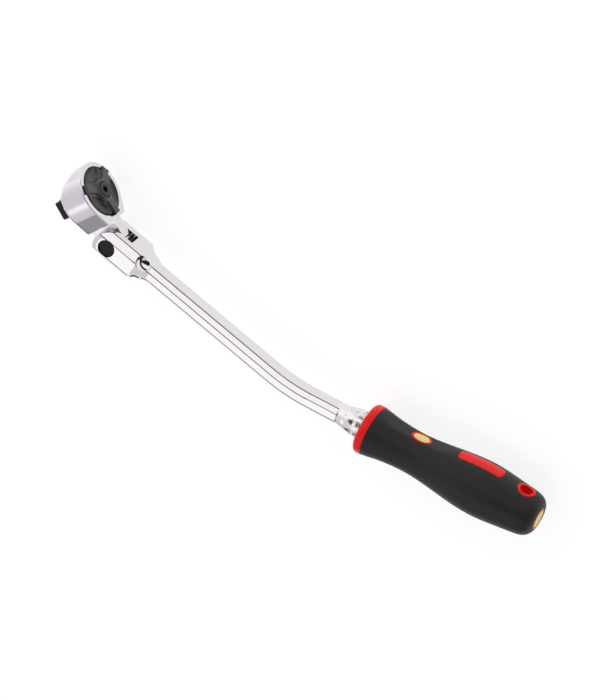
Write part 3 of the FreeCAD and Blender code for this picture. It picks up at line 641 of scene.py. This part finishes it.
    @staticmethod
    def copy(thing: Thing, name: str) -> Thing:
        """Copies an object and its mesh.

        Args:
            thing: the object.
            name: the copy's name.

        Returns:
            The copy.
        """
        Bench.only(thing)
        bpy.ops.object.duplicate(linked=False)
        return Bench.take(name)

    @staticmethod
    def soften(thing: Thing, voxel: float, rounds: int) -> None:
        """Rebuilds a solid as an even skin with softly rounded edges.

        Args:
            thing: the object.
            voxel: the cell size.
            rounds: smoothing rounds.
        """
        Bench.modify(thing, "REMESH", mode="VOXEL", voxel_size=voxel, use_smooth_shade=True)
        Bench.modify(thing, "SMOOTH", factor=0.5, iterations=rounds)

    @staticmethod
    def smooth(thing: Thing, degrees: float = 32.0) -> None:
        """Shades smooth up to an angle between faces."""
        Bench.only(thing)
        bpy.ops.object.shade_smooth_by_angle(angle=math.radians(degrees))


# ---------------------------------------------------------------- places
@dataclass(frozen=True)
class Place:
    """A local frame: X towards the butt, Z towards the lever.

    Attributes:
        origin: its origin in the common frame.
        lever: its Z axis in the common frame.
    """

    origin: Vector
    lever: Vector

    def matrix(self) -> Matrix:
        """Gives the local frame's matrix."""
        along = Vector((self.lever.y, -self.lever.x, 0.0))
        turned = Matrix((along, Vector((0.0, 0.0, -1.0)), self.lever)).transposed().to_4x4()
        return Matrix.Translation(self.origin) @ turned

    def settle(self, thing: Thing) -> None:
        """Moves a mesh from the local frame to the common one, and leaves its object at the origin."""
        thing.matrix_world = self.matrix()
        Bench.bake(thing)


@dataclass
class Frame:
    """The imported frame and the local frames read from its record."""

    packed: dict[str, Any]
    places: dict[str, Place] = field(default_factory=dict)

    def __post_init__(self) -> None:
        """Reads the joints and mounts."""
        record = self.packed["record"]
        joints = {joint["name"]: joint for joint in record["behaviour"]["joints"]}
        spin, flex = joints["drive_spin"], joints["flex"]
        bar = Vector(joints["plunger_slide"]["axis"])
        hole = next(mount for mount in record["mounts"] if mount["name"] == "hang_hole")
        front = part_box("grip_core")[0][0]
        self.places["head"] = Place(Vector(spin["pos_m"]), Vector(spin["axis"]).normalized())
        self.places["bar"] = Place(Vector(flex["pos_m"]), Vector((-bar.y, bar.x, 0.0)).normalized())
        self.places["grip"] = Place(Vector((front, hole["pos_m"][1], 0.0)), Vector((0.0, 1.0, 0.0)))

    def finish(self, thing: Thing, place: str, body: Body, finish: Finish, *nodes: str,
               degrees: float = 32.0) -> None:
        """Settles, shades and dresses a piece, and ties it to its body.

        Args:
            thing: the piece, in its local frame.
            place: the local frame's name.
            body: the body it rides on.
            finish: its finish.
            *nodes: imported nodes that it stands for.
            degrees: the angle up to which it is shaded smooth.
        """
        self.places[place].settle(thing)
        Bench.smooth(thing, degrees)
        thing.data.materials.clear()
        thing.data.materials.append(finish.material())
        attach(thing, body.value)
        if nodes:
            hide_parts(*nodes)
        LOG.info("%s: %d faces on %s", thing.name, len(thing.data.polygons), body.value)

    def dress(self, finish: Finish, *nodes: str) -> None:
        """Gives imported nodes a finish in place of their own.

        Args:
            finish: the finish.
            *nodes: the nodes' names.
        """
        for name in nodes:
            for slot in self.packed["nodes"][name].material_slots:
                slot.material = finish.material()
            LOG.info("%s keeps its packed shape", name)


# ---------------------------------------------------------------- sub-assemblies
@dataclass
class Handle:
    """The forged handle: bevelled fork, round scoops, faceted cranked bar and fluted collar."""

    frame: Frame
    fork_width: float = 29.0 * MM
    fork_thick: float = 21.0 * MM
    fork_bevel: float = 4.8 * MM
    fork_length: float = 19.5 * MM
    slot_width: float = 9.8 * MM
    slot_root: float = 15.0 * MM
    flare_length: float = 15.5 * MM
    bar_width: float = 16.4 * MM
    bar_thick: float = 11.8 * MM
    bar_bevel: float = 3.2 * MM
    bend_reach: float = 152.5 * MM
    bend_angle: float = math.radians(14.2)
    bend_radius: float = 125.0 * MM
    rear_reach: float = 57.5 * MM
    collar_length: float = 19.5 * MM
    collar_radius: float = 9.9 * MM
    hole_radius: float = 4.6 * MM
    pin_radius: float = 6.1 * MM
    pin_sink: float = 1.2 * MM
    groove_width: float = 0.9 * MM
    groove_depth: float = 0.5 * MM

    def build(self) -> None:
        """Builds and dresses the handle's pieces."""
        self.forging()
        self.bolt()
        self.frame.dress(BLACK, "pivot_nut")
        self.frame.dress(STEEL, "thrust_washers", "flex_plunger", "tang_roll_pin")
        self.frame.dress(SPRING, "flex_plunger_spring")

    def blank(self) -> Thing:
        """Draws out the fork, flare and cranked bar from one bevelled block.

        Returns:
            The blank, in the bar's frame.
        """
        half_wide, half_thick = self.fork_width / 2, self.fork_thick / 2
        low = (-half_thick - MM, -half_wide, -half_thick)
        thing = Bench.block("handle_forging", low, (self.fork_length, half_wide, half_thick))
        bpy.ops.object.mode_set(mode="EDIT")
        Bench.pick(thing, edges=lambda e: Bench.lean(e).x > 0.9)
        bpy.ops.mesh.bevel(offset=self.fork_bevel, segments=1)
        reach = self.fork_length
        before = (self.fork_width, self.fork_thick, self.fork_bevel)
        after = (self.bar_width, self.bar_thick, self.bar_bevel)
        section = before
        for number in range(1, 13):
            share = number / 12
            share = share * share * (3 - 2 * share)
            following = tuple(a + (b - a) * share for a, b in zip(before, after))
            self.draw_out(thing, reach, self.flare_length / 12)
            reach += self.flare_length / 12
            self.resection(thing, reach, section, following)
            section = following
        tangent = self.bend_radius * math.tan(self.bend_angle / 2)
        start = self.bend_reach - tangent
        self.draw_out(thing, reach, start - reach)
        self.end_face(thing, start)
        centre = (start, 0, self.bend_radius)
        bpy.ops.mesh.spin(steps=16, angle=self.bend_angle, center=centre, axis=(0, 1, 0))
        bpy.ops.mesh.select_mode(type="FACE")
        along = Vector((math.cos(self.bend_angle), 0, math.sin(self.bend_angle)))
        length = self.rear_reach - tangent - self.collar_length
        bpy.ops.mesh.extrude_region_move(TRANSFORM_OT_translate={"value": along * length})
        Bench.sew(thing)
        self.groove(thing)
        return thing

    @staticmethod
    def resection(thing: Thing, reach: float, section: Section, following: Section) -> None:
        """Reshapes the ring at a reach from one bevelled section to the next.

        Args:
            thing: the bar being drawn out, in edit mode.
            reach: where the ring is.
            section: its width, thickness and bevel.
            following: what they become.
        """
        halves = [(size / 2, size / 2 - section[2]) for size in section[:2]]
        wanted = [(size / 2, size / 2 - following[2]) for size in following[:2]]
        for face in (0, 1):
            def on_face(vertex: Any) -> bool:
                side = abs(vertex.co.y if face == 0 else vertex.co.z)
                return abs(vertex.co.x - reach) < 1e-5 and abs(side - halves[face][0]) < 0.02 * MM

            ratio = [wanted[axis][axis != face] / halves[axis][axis != face] for axis in (0, 1)]
            Bench.pick(thing, verts=on_face)
            bpy.ops.transform.resize(value=(1.0, *ratio), center_override=(reach, 0, 0))

    def groove(self, thing: Thing) -> None:
        """Rolls a fine groove along each of the bar's eight edges.

        Args:
            thing: the blank.
        """
        with Bench.editing(thing):
            Bench.pick(thing, edges=lambda e: Bench.lean(e).x > 0.5)
            bpy.ops.mesh.bevel(offset=self.groove_width / 2, segments=2, profile=0.5)
            mesh = bmesh.from_edit_mesh(thing.data)
            floor = set()
            for vertex in (v for v in mesh.verts if v.select):
                if all(face.select for face in vertex.link_faces if len(face.verts) < 8):
                    floor.add(vertex.index)
            Bench.pick(thing, verts=lambda v: v.index in floor)
            bpy.ops.transform.shrink_fatten(value=-self.groove_depth)

    @staticmethod
    def end_face(thing: Thing, reach: float) -> None:
        """Selects the open end at a distance from the pivot."""
        Bench.pick(thing, faces=lambda f: all(abs(v.co.x - reach) < 1e-5 for v in f.verts))

    def draw_out(self, thing: Thing, reach: float, length: float) -> None:
        """Extrudes the end face along the bar."""
        self.end_face(thing, reach)
        bpy.ops.mesh.extrude_region_move(TRANSFORM_OT_translate={"value": (length, 0, 0)})

    def collar(self) -> Thing:
        """Turns the neck behind the bar and hollows two rows of flutes in it.

        Returns:
            The collar, standing on Z with its rear face at 0.
        """
        radius, length = self.collar_radius, self.collar_length
        profile = [
            (0.0, -length - 2 * MM),
            (radius * 0.70, -length - 2 * MM),
            (radius * 0.74, -length),
            (radius * 0.80, -length * 0.82),
            (radius * 0.88, -length * 0.62),
            (radius * 0.955, -length * 0.42),
            (radius * 0.985, -length * 0.30),
            (radius, -length * 0.22),
            (radius, -2.9 * MM),
            (radius - 0.6 * MM, -2.5 * MM),
            (radius - 0.6 * MM, -1.7 * MM),
            (radius, -1.3 * MM),
            (radius, 4.0 * MM),
            (0.0, 4.0 * MM),
        ]
        thing = Bench.turned("collar", profile, 96)
        for row, (height, reach, depth) in enumerate(((-13.8, 4.2, 10.75), (-7.6, 4.4, 11.85))):
            for number in range(8):
                angle = math.radians(45.0 * number + 22.5 * row)
                centre = (depth * MM * math.cos(angle), depth * MM * math.sin(angle), height * MM)
                size = (2.7 * MM, 5.0 * MM, reach * MM)
                Bench.join(thing, "DIFFERENCE", Bench.pebble("flute", centre, size, (0, 0, angle)))
        return thing

    def forging(self) -> None:
        """Builds the forging with its slot, counterbores and scoops, and the collar behind it."""
        thing = self.blank()
        half_thick = self.fork_thick / 2
        rim = self.fork_width / 2 + 0.02 * MM
        ear = Bench.cylinder("ear", half_thick + 0.02 * MM, (0, -rim, 0), (0, rim, 0), 96)
        with Bench.editing(ear):
            Bench.pick(ear, edges=lambda e: e.verts[0].co.y * e.verts[1].co.y > 0)
            bpy.ops.mesh.bevel(offset=0.7 * MM, segments=4)
        rear = Bench.block("rear", (0.37 * MM, -PAST - MM, -0.2), (0.5, PAST + 2 * MM, 0.2))
        Bench.join(ear, "UNION", rear)
        Bench.join(thing, "INTERSECT", ear)
        half_slot = self.slot_width / 2
        slot = Bench.block("slot", (-20 * MM, -half_slot, -20 * MM), (0, half_slot, 20 * MM))
        root = Bench.cylinder("root", self.slot_root, (0, -half_slot, 0), (0, half_slot, 0), 96)
        front = Bench.block("front", (-PAST, -20 * MM, -PAST), (-0.001 * MM, 20 * MM, PAST))
        Bench.join(root, "DIFFERENCE", front)
        Bench.join(thing, "DIFFERENCE", slot, root)
        half_wide = self.fork_width / 2
        hole = Bench.cylinder("hole", self.hole_radius, (0, -PAST, 0), (0, PAST, 0))
        Bench.join(thing, "DIFFERENCE", hole)
        for side in (-1, 1):
            deep = (0, side * (half_wide - self.pin_sink - 2.4 * MM), 0)
            seat = Bench.cylinder("seat", self.pin_radius + 0.1 * MM, deep, (0, side * PAST, 0))
            Bench.join(thing, "DIFFERENCE", seat)
            for rise in (-1, 1):
                centre = (27.5 * MM, side * 13.3 * MM, rise * 10.2 * MM)
                scoop = Bench.pebble("scoop", centre, (7.5 * MM, 8.0 * MM, 8.0 * MM))
                Bench.join(thing, "DIFFERENCE", scoop)
        self.frame.finish(thing, "bar", Body.HANDLE, CHROME, "handle_bar")
        neck = self.collar()
        end = Vector((self.bend_reach, 0, 0)) + self.rear_reach * Vector(
            (math.cos(self.bend_angle), 0, math.sin(self.bend_angle))
        )
        neck.matrix_world = Matrix.Translation(end) @ Matrix.Rotation(math.pi / 2 - self.bend_angle, 4, "Y")
        Bench.bake(neck)
        self.frame.finish(neck, "bar", Body.HANDLE, NECK)

    def bolt(self) -> None:
        """Turns the pivot bolt's head with a shallow rim and faint tool rings."""
        radius, low = self.pin_radius, self.pin_sink - self.fork_width / 2
        profile = [
            (0.0, low + 0.25 * MM),
            (radius * 0.30, low + 0.22 * MM),
            (radius * 0.62, low + 0.14 * MM),
            (radius * 0.66, low + 0.2 * MM),
            (radius * 0.70, low + 0.12 * MM),
            (radius - 0.5 * MM, low),
            (radius - 0.15 * MM, low + 0.15 * MM),
            (radius, low + 0.5 * MM),
            (radius, low + 2.35 * MM),
            (4.5 * MM, low + 2.35 * MM),
            (4.5 * MM, 5.9 * MM),
            (0.0, 5.9 * MM),
        ]
        thing = Bench.turned("pivot_bolt_head", profile, 72)
        thing.matrix_world = Matrix.Rotation(-math.pi / 2, 4, "X")
        Bench.bake(thing)
        self.frame.finish(thing, "bar", Body.HANDLE, BLACK, "pivot_bolt")


@dataclass
class Head:
    """The head: the moulded reversing lever and the release button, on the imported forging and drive."""

    frame: Frame
    half: float = 10.0 * MM
    disc_radius: float = 16.6 * MM
    flange_radius: float = 17.4 * MM
    flange_low: float = 6.7 * MM
    flange_top: float = 8.1 * MM
    disc_top: float = 10.7 * MM
    arm_top: float = 12.4 * MM
    boss_top: float = 13.4 * MM
    boss_radius: float = 7.1 * MM
    bore_radius: float = 5.8 * MM
    arm_reach: float = 18.3 * MM
    arm_angles: tuple[float, ...] = (5.0, 125.0, 245.0)
    button_radius: float = 5.6 * MM
    button_stand: float = 0.3 * MM
    spring_inner: float = 2.75 * MM
    spring_outer: float = 3.95 * MM

    def build(self) -> None:
        """Builds and dresses the head's pieces."""
        # The head body's plating carries a painted reflection: a darker violet-grey tint in its base colour.
        self.frame.dress(SATIN_PAINTED_REFLECTION, "head_body")
        self.frame.dress(STEEL, "cover_plate", "shift_pin", "lever_detent_ball", "socket_ball", "release_rod")
        self.frame.dress(DARK, "lever_snap_ring", "pawl")
        self.frame.dress(SPRING, "pawl_leaf_spring", "lever_detent_spring", "button_spring")
        self.frame.dress(BLACK, "drive_gear")
        self.frame.dress(RUBBER, "hub_seal")
        self.lever()
        self.button()

    def lever(self) -> None:
        """Moulds the lever: a disc with three finger arms, scooped between them, round a raised boss."""
        profile = [
            (self.bore_radius, self.flange_low),
            (self.flange_radius, self.flange_low),
            (self.flange_radius, self.flange_top),
            (self.disc_radius, self.flange_top),
            (self.disc_radius, self.disc_top - 0.6 * MM),
            (self.disc_radius - 0.6 * MM, self.disc_top),
            (self.boss_radius + 1.6 * MM, self.disc_top + 0.2 * MM),
            (self.boss_radius + 0.4 * MM, self.boss_top - 0.9 * MM),
            (self.boss_radius - 0.3 * MM, self.boss_top),
            (self.bore_radius, self.boss_top),
        ]
        thing = Bench.turned("lever_cap", profile, 96)
        for angle in self.arm_angles:
            Bench.join(thing, "UNION", self.arm(math.radians(angle)))
        for angle in self.arm_angles:
            middle = math.radians(angle + 60.0)
            centre = (12.5 * MM * math.cos(middle), 12.5 * MM * math.sin(middle), self.disc_top + 0.5 * MM)
            scoop = Bench.pebble("scoop", centre, (4.7 * MM, 9.0 * MM, 3.4 * MM), (0, 0, middle))
            Bench.join(thing, "DIFFERENCE", scoop)
        bore = Bench.cylinder("bore", self.bore_radius, (0, 0, 0), (0, 0, PAST), 72)
        Bench.join(thing, "DIFFERENCE", bore)
        Bench.soften(thing, 0.26 * MM, 6)
        self.frame.finish(thing, "head", Body.LEVER, LEVER, "reverse_lever", degrees=60.0)

    def arm(self, angle: float) -> Thing:
        """Shapes one finger arm, waisted in the middle with a rounded nub at its tip.

        Args:
            angle: the arm's direction, in radians.

        Returns:
            The arm.
        """
        low = self.half + 0.25 * MM
        thing = Bench.block("arm", (6.2 * MM, -2.7 * MM, low), (self.arm_reach, 2.7 * MM, self.arm_top))
        with Bench.editing(thing):
            bpy.ops.mesh.select_all(action="SELECT")
            bpy.ops.mesh.subdivide(number_cuts=5)
            for reach, wide in ((6.2, 1.7), (8.62, 1.15), (15.88, 1.1), (18.3, 1.35)):
                Bench.pick(thing, verts=lambda v: abs(v.co.x - reach * MM) < 0.05 * MM)
                bpy.ops.transform.resize(value=(1.0, wide, 1.0), center_override=(reach * MM, 0, 0))
            tip, crest = self.arm_reach - 0.1 * MM, self.arm_top - 0.1 * MM
            Bench.pick(thing, verts=lambda v: v.co.x > tip and v.co.z > crest)
            bpy.ops.transform.translate(value=(-0.7 * MM, 0, 0))
        thing.matrix_world = Matrix.Rotation(angle, 4, "Z")
        Bench.bake(thing)
        return thing

    def button(self) -> None:
        """Turns the release button, with a groove, a hexagonal recess and a pocket for its spring."""
        radius, top, low = self.button_radius, self.boss_top + self.button_stand, self.half + 0.9 * MM
        ceiling = top - 0.27 * MM
        profile = [
            (0.0, low),
            (self.spring_inner, low),
            (self.spring_inner, ceiling),
            (self.spring_outer, ceiling),
            (self.spring_outer, low),
            (radius, low),
            (radius, top - 0.9 * MM),
            (radius - 0.35 * MM, top - 0.25 * MM),
            (radius - 0.9 * MM, top),
            (2.72 * MM, top),
            (2.62 * MM, top - 0.2 * MM),
            (2.5 * MM, top - 0.15 * MM),
            (0.0, top - 0.1 * MM),
        ]
        thing = Bench.turned("release_button_cap", profile, 72)
        hexagon = Bench.cylinder("hexagon", 2.3 * MM, (0, 0, top - 2.0 * MM), (0, 0, top + 2.0 * MM), 6)
        Bench.join(thing, "DIFFERENCE", hexagon)
        self.frame.finish(thing, "head", Body.RELEASE, DARK, "release_button")


@dataclass
class Grip:
    """The moulded grip: black rubber over a red core that shows at its ends, insert, badge and eyelet."""

    frame: Frame
    length: float = 132.5 * MM
    ferrule: float = 6.4 * MM
    wide: float = 1.06
    stations: tuple[tuple[float, float], ...] = (
        (6.4, 17.9), (9, 17.55), (12, 17.05), (16, 16.3), (20, 15.75), (24, 15.35), (28, 15.0), (32, 14.8),
        (36, 14.7), (40, 14.75), (44, 14.95), (48, 15.3), (52, 15.75), (56, 16.25), (60, 16.8), (64, 17.35),
        (68, 17.9), (72, 18.4), (76, 18.85), (80, 19.2), (85, 19.5), (90, 19.6), (95, 19.4), (100, 19.0),
        (105, 18.45), (110, 17.85), (115, 17.25), (119, 16.8), (122.5, 16.35), (125, 15.9), (127.3, 15.15),
        (129.2, 14.1), (130.7, 12.7), (131.8, 11.0), (132.35, 9.4), (132.5, 8.0))
    rest_at: float = 36.0 * MM
    rest_half: float = 30.0 * MM
    rest_height: float = 13.1 * MM
    rest_crown: float = 0.18
    badge_at: float = 39.0 * MM
    insert_at: float = 83.5 * MM
    hole_at: float = 118.0 * MM
    hole_radius: float = 4.7 * MM
    eyelet: float = 1.9 * MM
    butt_radius: float = 6.2 * MM

    def build(self) -> None:
        """Builds and dresses the grip's pieces."""
        skin = self.skin("skin")
        self.core()
        self.badge(skin)
        self.butt()
        self.sleeve(skin)

    def skin(self, name: str, grow: float = 0.0) -> Thing:
        """Draws out the closed outer skin from an ellipse, ring by ring.

        Args:
            name: the object's name.
            grow: how far it stands outside the true skin.

        Returns:
            The skin, in the grip's frame.
        """
        Bench.clear()
        place, radius = self.stations[0][0] * MM, self.stations[0][1] * MM + grow
        bpy.ops.mesh.primitive_circle_add(
            vertices=96, radius=1.0, fill_type="NGON", location=(place, 0, 0), rotation=(0, math.pi / 2, 0)
        )
        thing = Bench.take(name)
        thing.scale = (radius / self.wide, radius * self.wide, 1.0)
        Bench.bake(thing)
        bpy.ops.object.mode_set(mode="EDIT")
        bpy.ops.mesh.select_mode(type="FACE")
        bpy.ops.mesh.select_all(action="SELECT")
        for reach, size in self.stations[1:]:
            reach, size = reach * MM, size * MM + grow
            bpy.ops.mesh.extrude_region_move(TRANSFORM_OT_translate={"value": (reach - place, 0, 0)})
            share = size / radius
            bpy.ops.transform.resize(value=(1.0, share, share), center_override=(reach, 0, 0))
            place, radius = reach, size
        Bench.sew(thing)
        self.thumb_rest(thing)
        return thing

    def thumb_rest(self, thing: Thing) -> None:
        """Flattens the lever side round the badge into a shallow thumb rest with a soft edge.

        Args:
            thing: the skin.
        """
        reaches = sorted({round(vertex.co.x / MM, 3) for vertex in thing.data.vertices})
        with Bench.editing(thing):
            for reach in reaches:
                share = (reach * MM - self.rest_at) / self.rest_half
                if abs(share) >= 1:
                    continue
                flat = self.rest_height + (0.9 * share * share + 5.5 * abs(share) ** 5) * MM
                if Bench.pick(thing, verts=lambda v: abs(v.co.x / MM - reach) < 2e-3 and v.co.z > flat):
                    centre = (reach * MM, 0, flat)
                    bpy.ops.transform.resize(value=(1.0, 1.0, self.rest_crown), center_override=centre)

    def prism(self, name: str, middle: float, length: float, width: float, corner: float) -> Thing:
        """Stands a rounded bar on the lever side.

        Args:
            name: the object's name.
            middle: its centre along the grip.
            length: its length along the grip.
            width: its width across it.
            corner: its corner radius.

        Returns:
            The bar.
        """
        low = (middle - length / 2, -width / 2, 11.5 * MM)
        thing = Bench.block(name, low, (middle + length / 2, width / 2, PAST))
        with Bench.editing(thing):
            Bench.pick(thing, edges=lambda e: Bench.lean(e).z > 0.9)
            bpy.ops.mesh.bevel(offset=corner, segments=10)
        return thing

    def hang_bar(self, name: str, radius: float) -> Thing:
        """Stands a round bar through the grip where its hanging hole is."""
        return Bench.cylinder(name, radius, (self.hole_at, 0, -PAST), (self.hole_at, 0, PAST), 96)

    def plug(self, name: str, grow: float, low: float) -> Thing:
        """Stands the badge's oval plug on the lever side.

        Args:
            name: the object's name.
            grow: how far it reaches past the badge's oval.
            low: its foot.

        Returns:
            The plug.
        """
        thing = Bench.cylinder(name, 1.0, (0, 0, low), (0, 0, PAST), 96)
        thing.scale = (7.5 * MM + grow, 5.5 * MM + grow, 1.0)
        thing.location = (self.badge_at, 0, 0)
        Bench.bake(thing)
        return thing

    def core(self) -> None:
        """Makes what shows of the red core: ferrule, insert, badge border, eyelet and butt ring."""
        radius = 18.2 * MM
        ferrule = Bench.turned(
            "ferrule_ring",
            [
                (6.05 * MM, 0.0),
                (radius - 2.6 * MM, 0.0),
                (radius - 1.3 * MM, 0.35 * MM),
                (radius - 0.45 * MM, 1.1 * MM),
                (radius - 0.1 * MM, 2.2 * MM),
                (radius, 3.4 * MM),
                (radius, self.ferrule - 0.35 * MM),
                (radius - 0.3 * MM, self.ferrule),
                (6.05 * MM, self.ferrule),
            ],
            128,
        )
        ferrule.matrix_world = Matrix.Rotation(math.pi / 2, 4, "Y")
        ferrule.scale = (1.0 / self.wide, self.wide, 1.0)
        Bench.bake(ferrule)
        self.frame.finish(ferrule, "grip", Body.HANDLE, RED, "grip_core")
        proud = self.skin("proud", 0.22 * MM)
        insert = self.prism("red_insert", self.insert_at, 33 * MM, 11 * MM, 3.0 * MM)
        Bench.join(insert, "INTERSECT", Bench.copy(proud, "cutter"))
        Bench.soften(insert, 0.22 * MM, 4)
        self.frame.finish(insert, "grip", Body.HANDLE, RED, degrees=60.0)
        border = self.plug("badge_border", 0.0, 10.0 * MM)
        Bench.join(border, "INTERSECT", Bench.copy(proud, "cutter"))
        Bench.join(border, "DIFFERENCE", self.plug("seat", -1.5 * MM, 12.0 * MM))
        Bench.soften(border, 0.2 * MM, 3)
        self.frame.finish(border, "grip", Body.HANDLE, RED, degrees=60.0)
        eyelet = self.hang_bar("hang_eyelet", self.hole_radius + self.eyelet)
        Bench.join(eyelet, "INTERSECT", proud)
        Bench.join(eyelet, "DIFFERENCE", self.hang_bar("hole", self.hole_radius))
        Bench.soften(eyelet, 0.25 * MM, 4)
        self.frame.finish(eyelet, "grip", Body.HANDLE, RED, degrees=60.0)
        low = self.length - 6.0 * MM
        ring = Bench.turned(
            "butt_ring",
            [
                (self.butt_radius + 0.05 * MM, low),
                (self.butt_radius + 1.55 * MM, low),
                (self.butt_radius + 1.55 * MM, self.length - 0.25 * MM),
                (self.butt_radius + 1.2 * MM, self.length + 0.05 * MM),
                (self.butt_radius + 0.35 * MM, self.length + 0.05 * MM),
                (self.butt_radius + 0.05 * MM, self.length - 0.2 * MM),
            ],
        )
        Bench.lay(ring)
        self.frame.finish(ring, "grip", Body.HANDLE, RED)

    def badge(self, skin: Thing) -> None:
        """Makes the plain cream oval, crowned inside its border."""
        thing = self.plug("badge_plate", -1.6 * MM, 11.0 * MM)
        Bench.join(thing, "INTERSECT", Bench.copy(skin, "cutter"))
        Bench.soften(thing, 0.2 * MM, 4)
        self.frame.finish(thing, "grip", Body.HANDLE, CREAM, "oval_badge", degrees=60.0)

    def butt(self) -> None:
        """Turns the butt's cream disc with a rounded rim and a shallow dish."""
        radius, top = self.butt_radius, self.length
        thing = Bench.turned(
            "butt_plate",
            [
                (0.0, top - 1.6 * MM),
                (radius, top - 1.6 * MM),
                (radius, top - 0.3 * MM),
                (radius - 0.3 * MM, top),
                (radius - 1.0 * MM, top),
                (radius - 1.3 * MM, top - 0.2 * MM),
                (0.0, top - 0.3 * MM),
            ],
        )
        Bench.lay(thing)
        self.frame.finish(thing, "grip", Body.HANDLE, CREAM, "butt_badge")

    def sleeve(self, skin: Thing) -> None:
        """Cuts the rubber sleeve's openings in the skin."""
        tools = [
            self.prism("window", self.insert_at, 33.3 * MM, 11.3 * MM, 3.1 * MM),
            self.plug("oval", 0.15 * MM, 9.5 * MM),
            self.hang_bar("eye", self.hole_radius + self.eyelet + 0.15 * MM),
            Bench.cylinder("end", self.butt_radius + 1.7 * MM, (self.length - 6.2 * MM, 0, 0),
                           (self.length + MM, 0, 0), 96),
        ]
        Bench.join(skin, "DIFFERENCE", *tools)
        skin.name = skin.data.name = "grip_sleeve"
        self.frame.finish(skin, "grip", Body.HANDLE, RUBBER, "grip_rubber", degrees=40.0)


# ---------------------------------------------------------------- stage
@dataclass
class Stage:
    """The pale floor, the soft sky with its dark gaps, and the camera."""

    target: Point = (0.17726, -0.02184, 0.00062)
    right: Point = (0.8592, 0.2841, -0.4256)
    up: Point = (-0.4549, 0.8049, -0.3811)
    distance: float = 6.0
    lens: float = 466.5
    floor_level: float = -0.0219
    lamp_place: Point = (0.1, -0.5, 1.2)
    lamp_aim: Point = (0.18, 0.0, 0.0)
    lamp_size: float = 0.9
    lamp_power: float = 1.2

    def build(self) -> None:
        """Sets up the stage."""
        self.floor()
        self.sky()
        self.lamp()
        self.camera()

    def floor(self) -> None:
        """Lays a large pale floor that barely takes a shadow."""
        Bench.clear()
        bpy.ops.mesh.primitive_plane_add(size=16.0, location=(0, 0, self.floor_level))
        thing = Bench.take("floor")
        made = bpy.data.materials.new("pale_floor")
        made.use_nodes = True
        graph = Graph(made.node_tree)
        cloud = graph.noise(graph.coordinates(), 3.0)
        shader = graph.node("ShaderNodeBsdfPrincipled", inputs={
            "Base Color": graph.blend(cloud, (0.3, 0.3, 0.3), (0.32, 0.32, 0.32)),
            "Roughness": 0.9,
            "Specular IOR Level": 0.0,
            "Emission Color": (1.0, 1.0, 1.0, 1.0),
            "Emission Strength": 0.82,
        })
        graph.node("ShaderNodeOutputMaterial", inputs={"Surface": shader})
        thing.data.materials.append(made)

    def sky(self) -> None:
        """Paints the sky as wide soft boxes with dark gaps at the horizon and overhead."""
        world = bpy.data.worlds.new("studio")
        bpy.context.scene.world = world
        world.use_nodes = True
        graph = Graph(world.node_tree)
        way = graph.coordinates("Generated")
        parts = graph.node("ShaderNodeSeparateXYZ", inputs={"Vector": way})
        along, across, height = (Wire(graph, parts.socket.node.outputs[index]) for index in range(3))
        lean = across.atan2(height)
        over = along.eased(-0.48, -0.32)
        gap = lean.eased(-0.22, -0.08) * lean.eased(0.72, 0.58) * over
        horizon = abs(height).eased(0.40, 0.28) * over
        dark = 1 - (1 - gap) * (1 - horizon)
        side = lean.eased(-0.2, 0.5)
        soft = graph.blend(side, (0.80, 0.77, 0.81), (1.22, 1.16, 1.18))
        colour = graph.blend(dark, soft, (0.02, 0.02, 0.02))
        light = graph.node("ShaderNodeBackground", inputs={"Color": colour, "Strength": 1.0})
        graph.node("ShaderNodeOutputWorld", inputs={"Surface": light})

    def lamp(self) -> None:
        """Hangs a broad soft lamp over the wrench."""
        Bench.clear()
        bpy.ops.object.light_add(type="AREA", location=self.lamp_place)
        lamp = bpy.context.object
        lamp.name = "key"
        lamp.data.size = self.lamp_size
        lamp.data.energy = self.lamp_power
        lamp.rotation_euler = (Vector(self.lamp_aim) - lamp.location).to_track_quat("-Z", "Y").to_euler()

    def camera(self) -> None:
        """Places a long-lensed camera."""
        right = Vector(self.right).normalized()
        up = Vector(self.up)
        up = (up - right * up.dot(right)).normalized()
        back = right.cross(up)
        data = bpy.data.cameras.new("camera")
        eye = bpy.data.objects.new("camera", data)
        bpy.context.scene.collection.objects.link(eye)
        data.lens = self.lens
        data.clip_start, data.clip_end = 0.1, 30.0
        turn = Matrix((right, up, back)).transposed().to_4x4()
        eye.matrix_world = Matrix.Translation(Vector(self.target) + back * self.distance) @ turn
        bpy.context.scene.camera = eye


def main() -> None:
    """Builds every sub-assembly in order and reports each piece."""
    logging.basicConfig(level=logging.INFO, format="%(name)s: %(message)s")
    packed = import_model()
    bpy.context.scene.view_settings.view_transform = "Standard"
    frame = Frame(packed)
    for part in (Handle(frame), Head(frame), Grip(frame)):
        part.build()
    Stage().build()


if __name__ == "__main__":
    main()
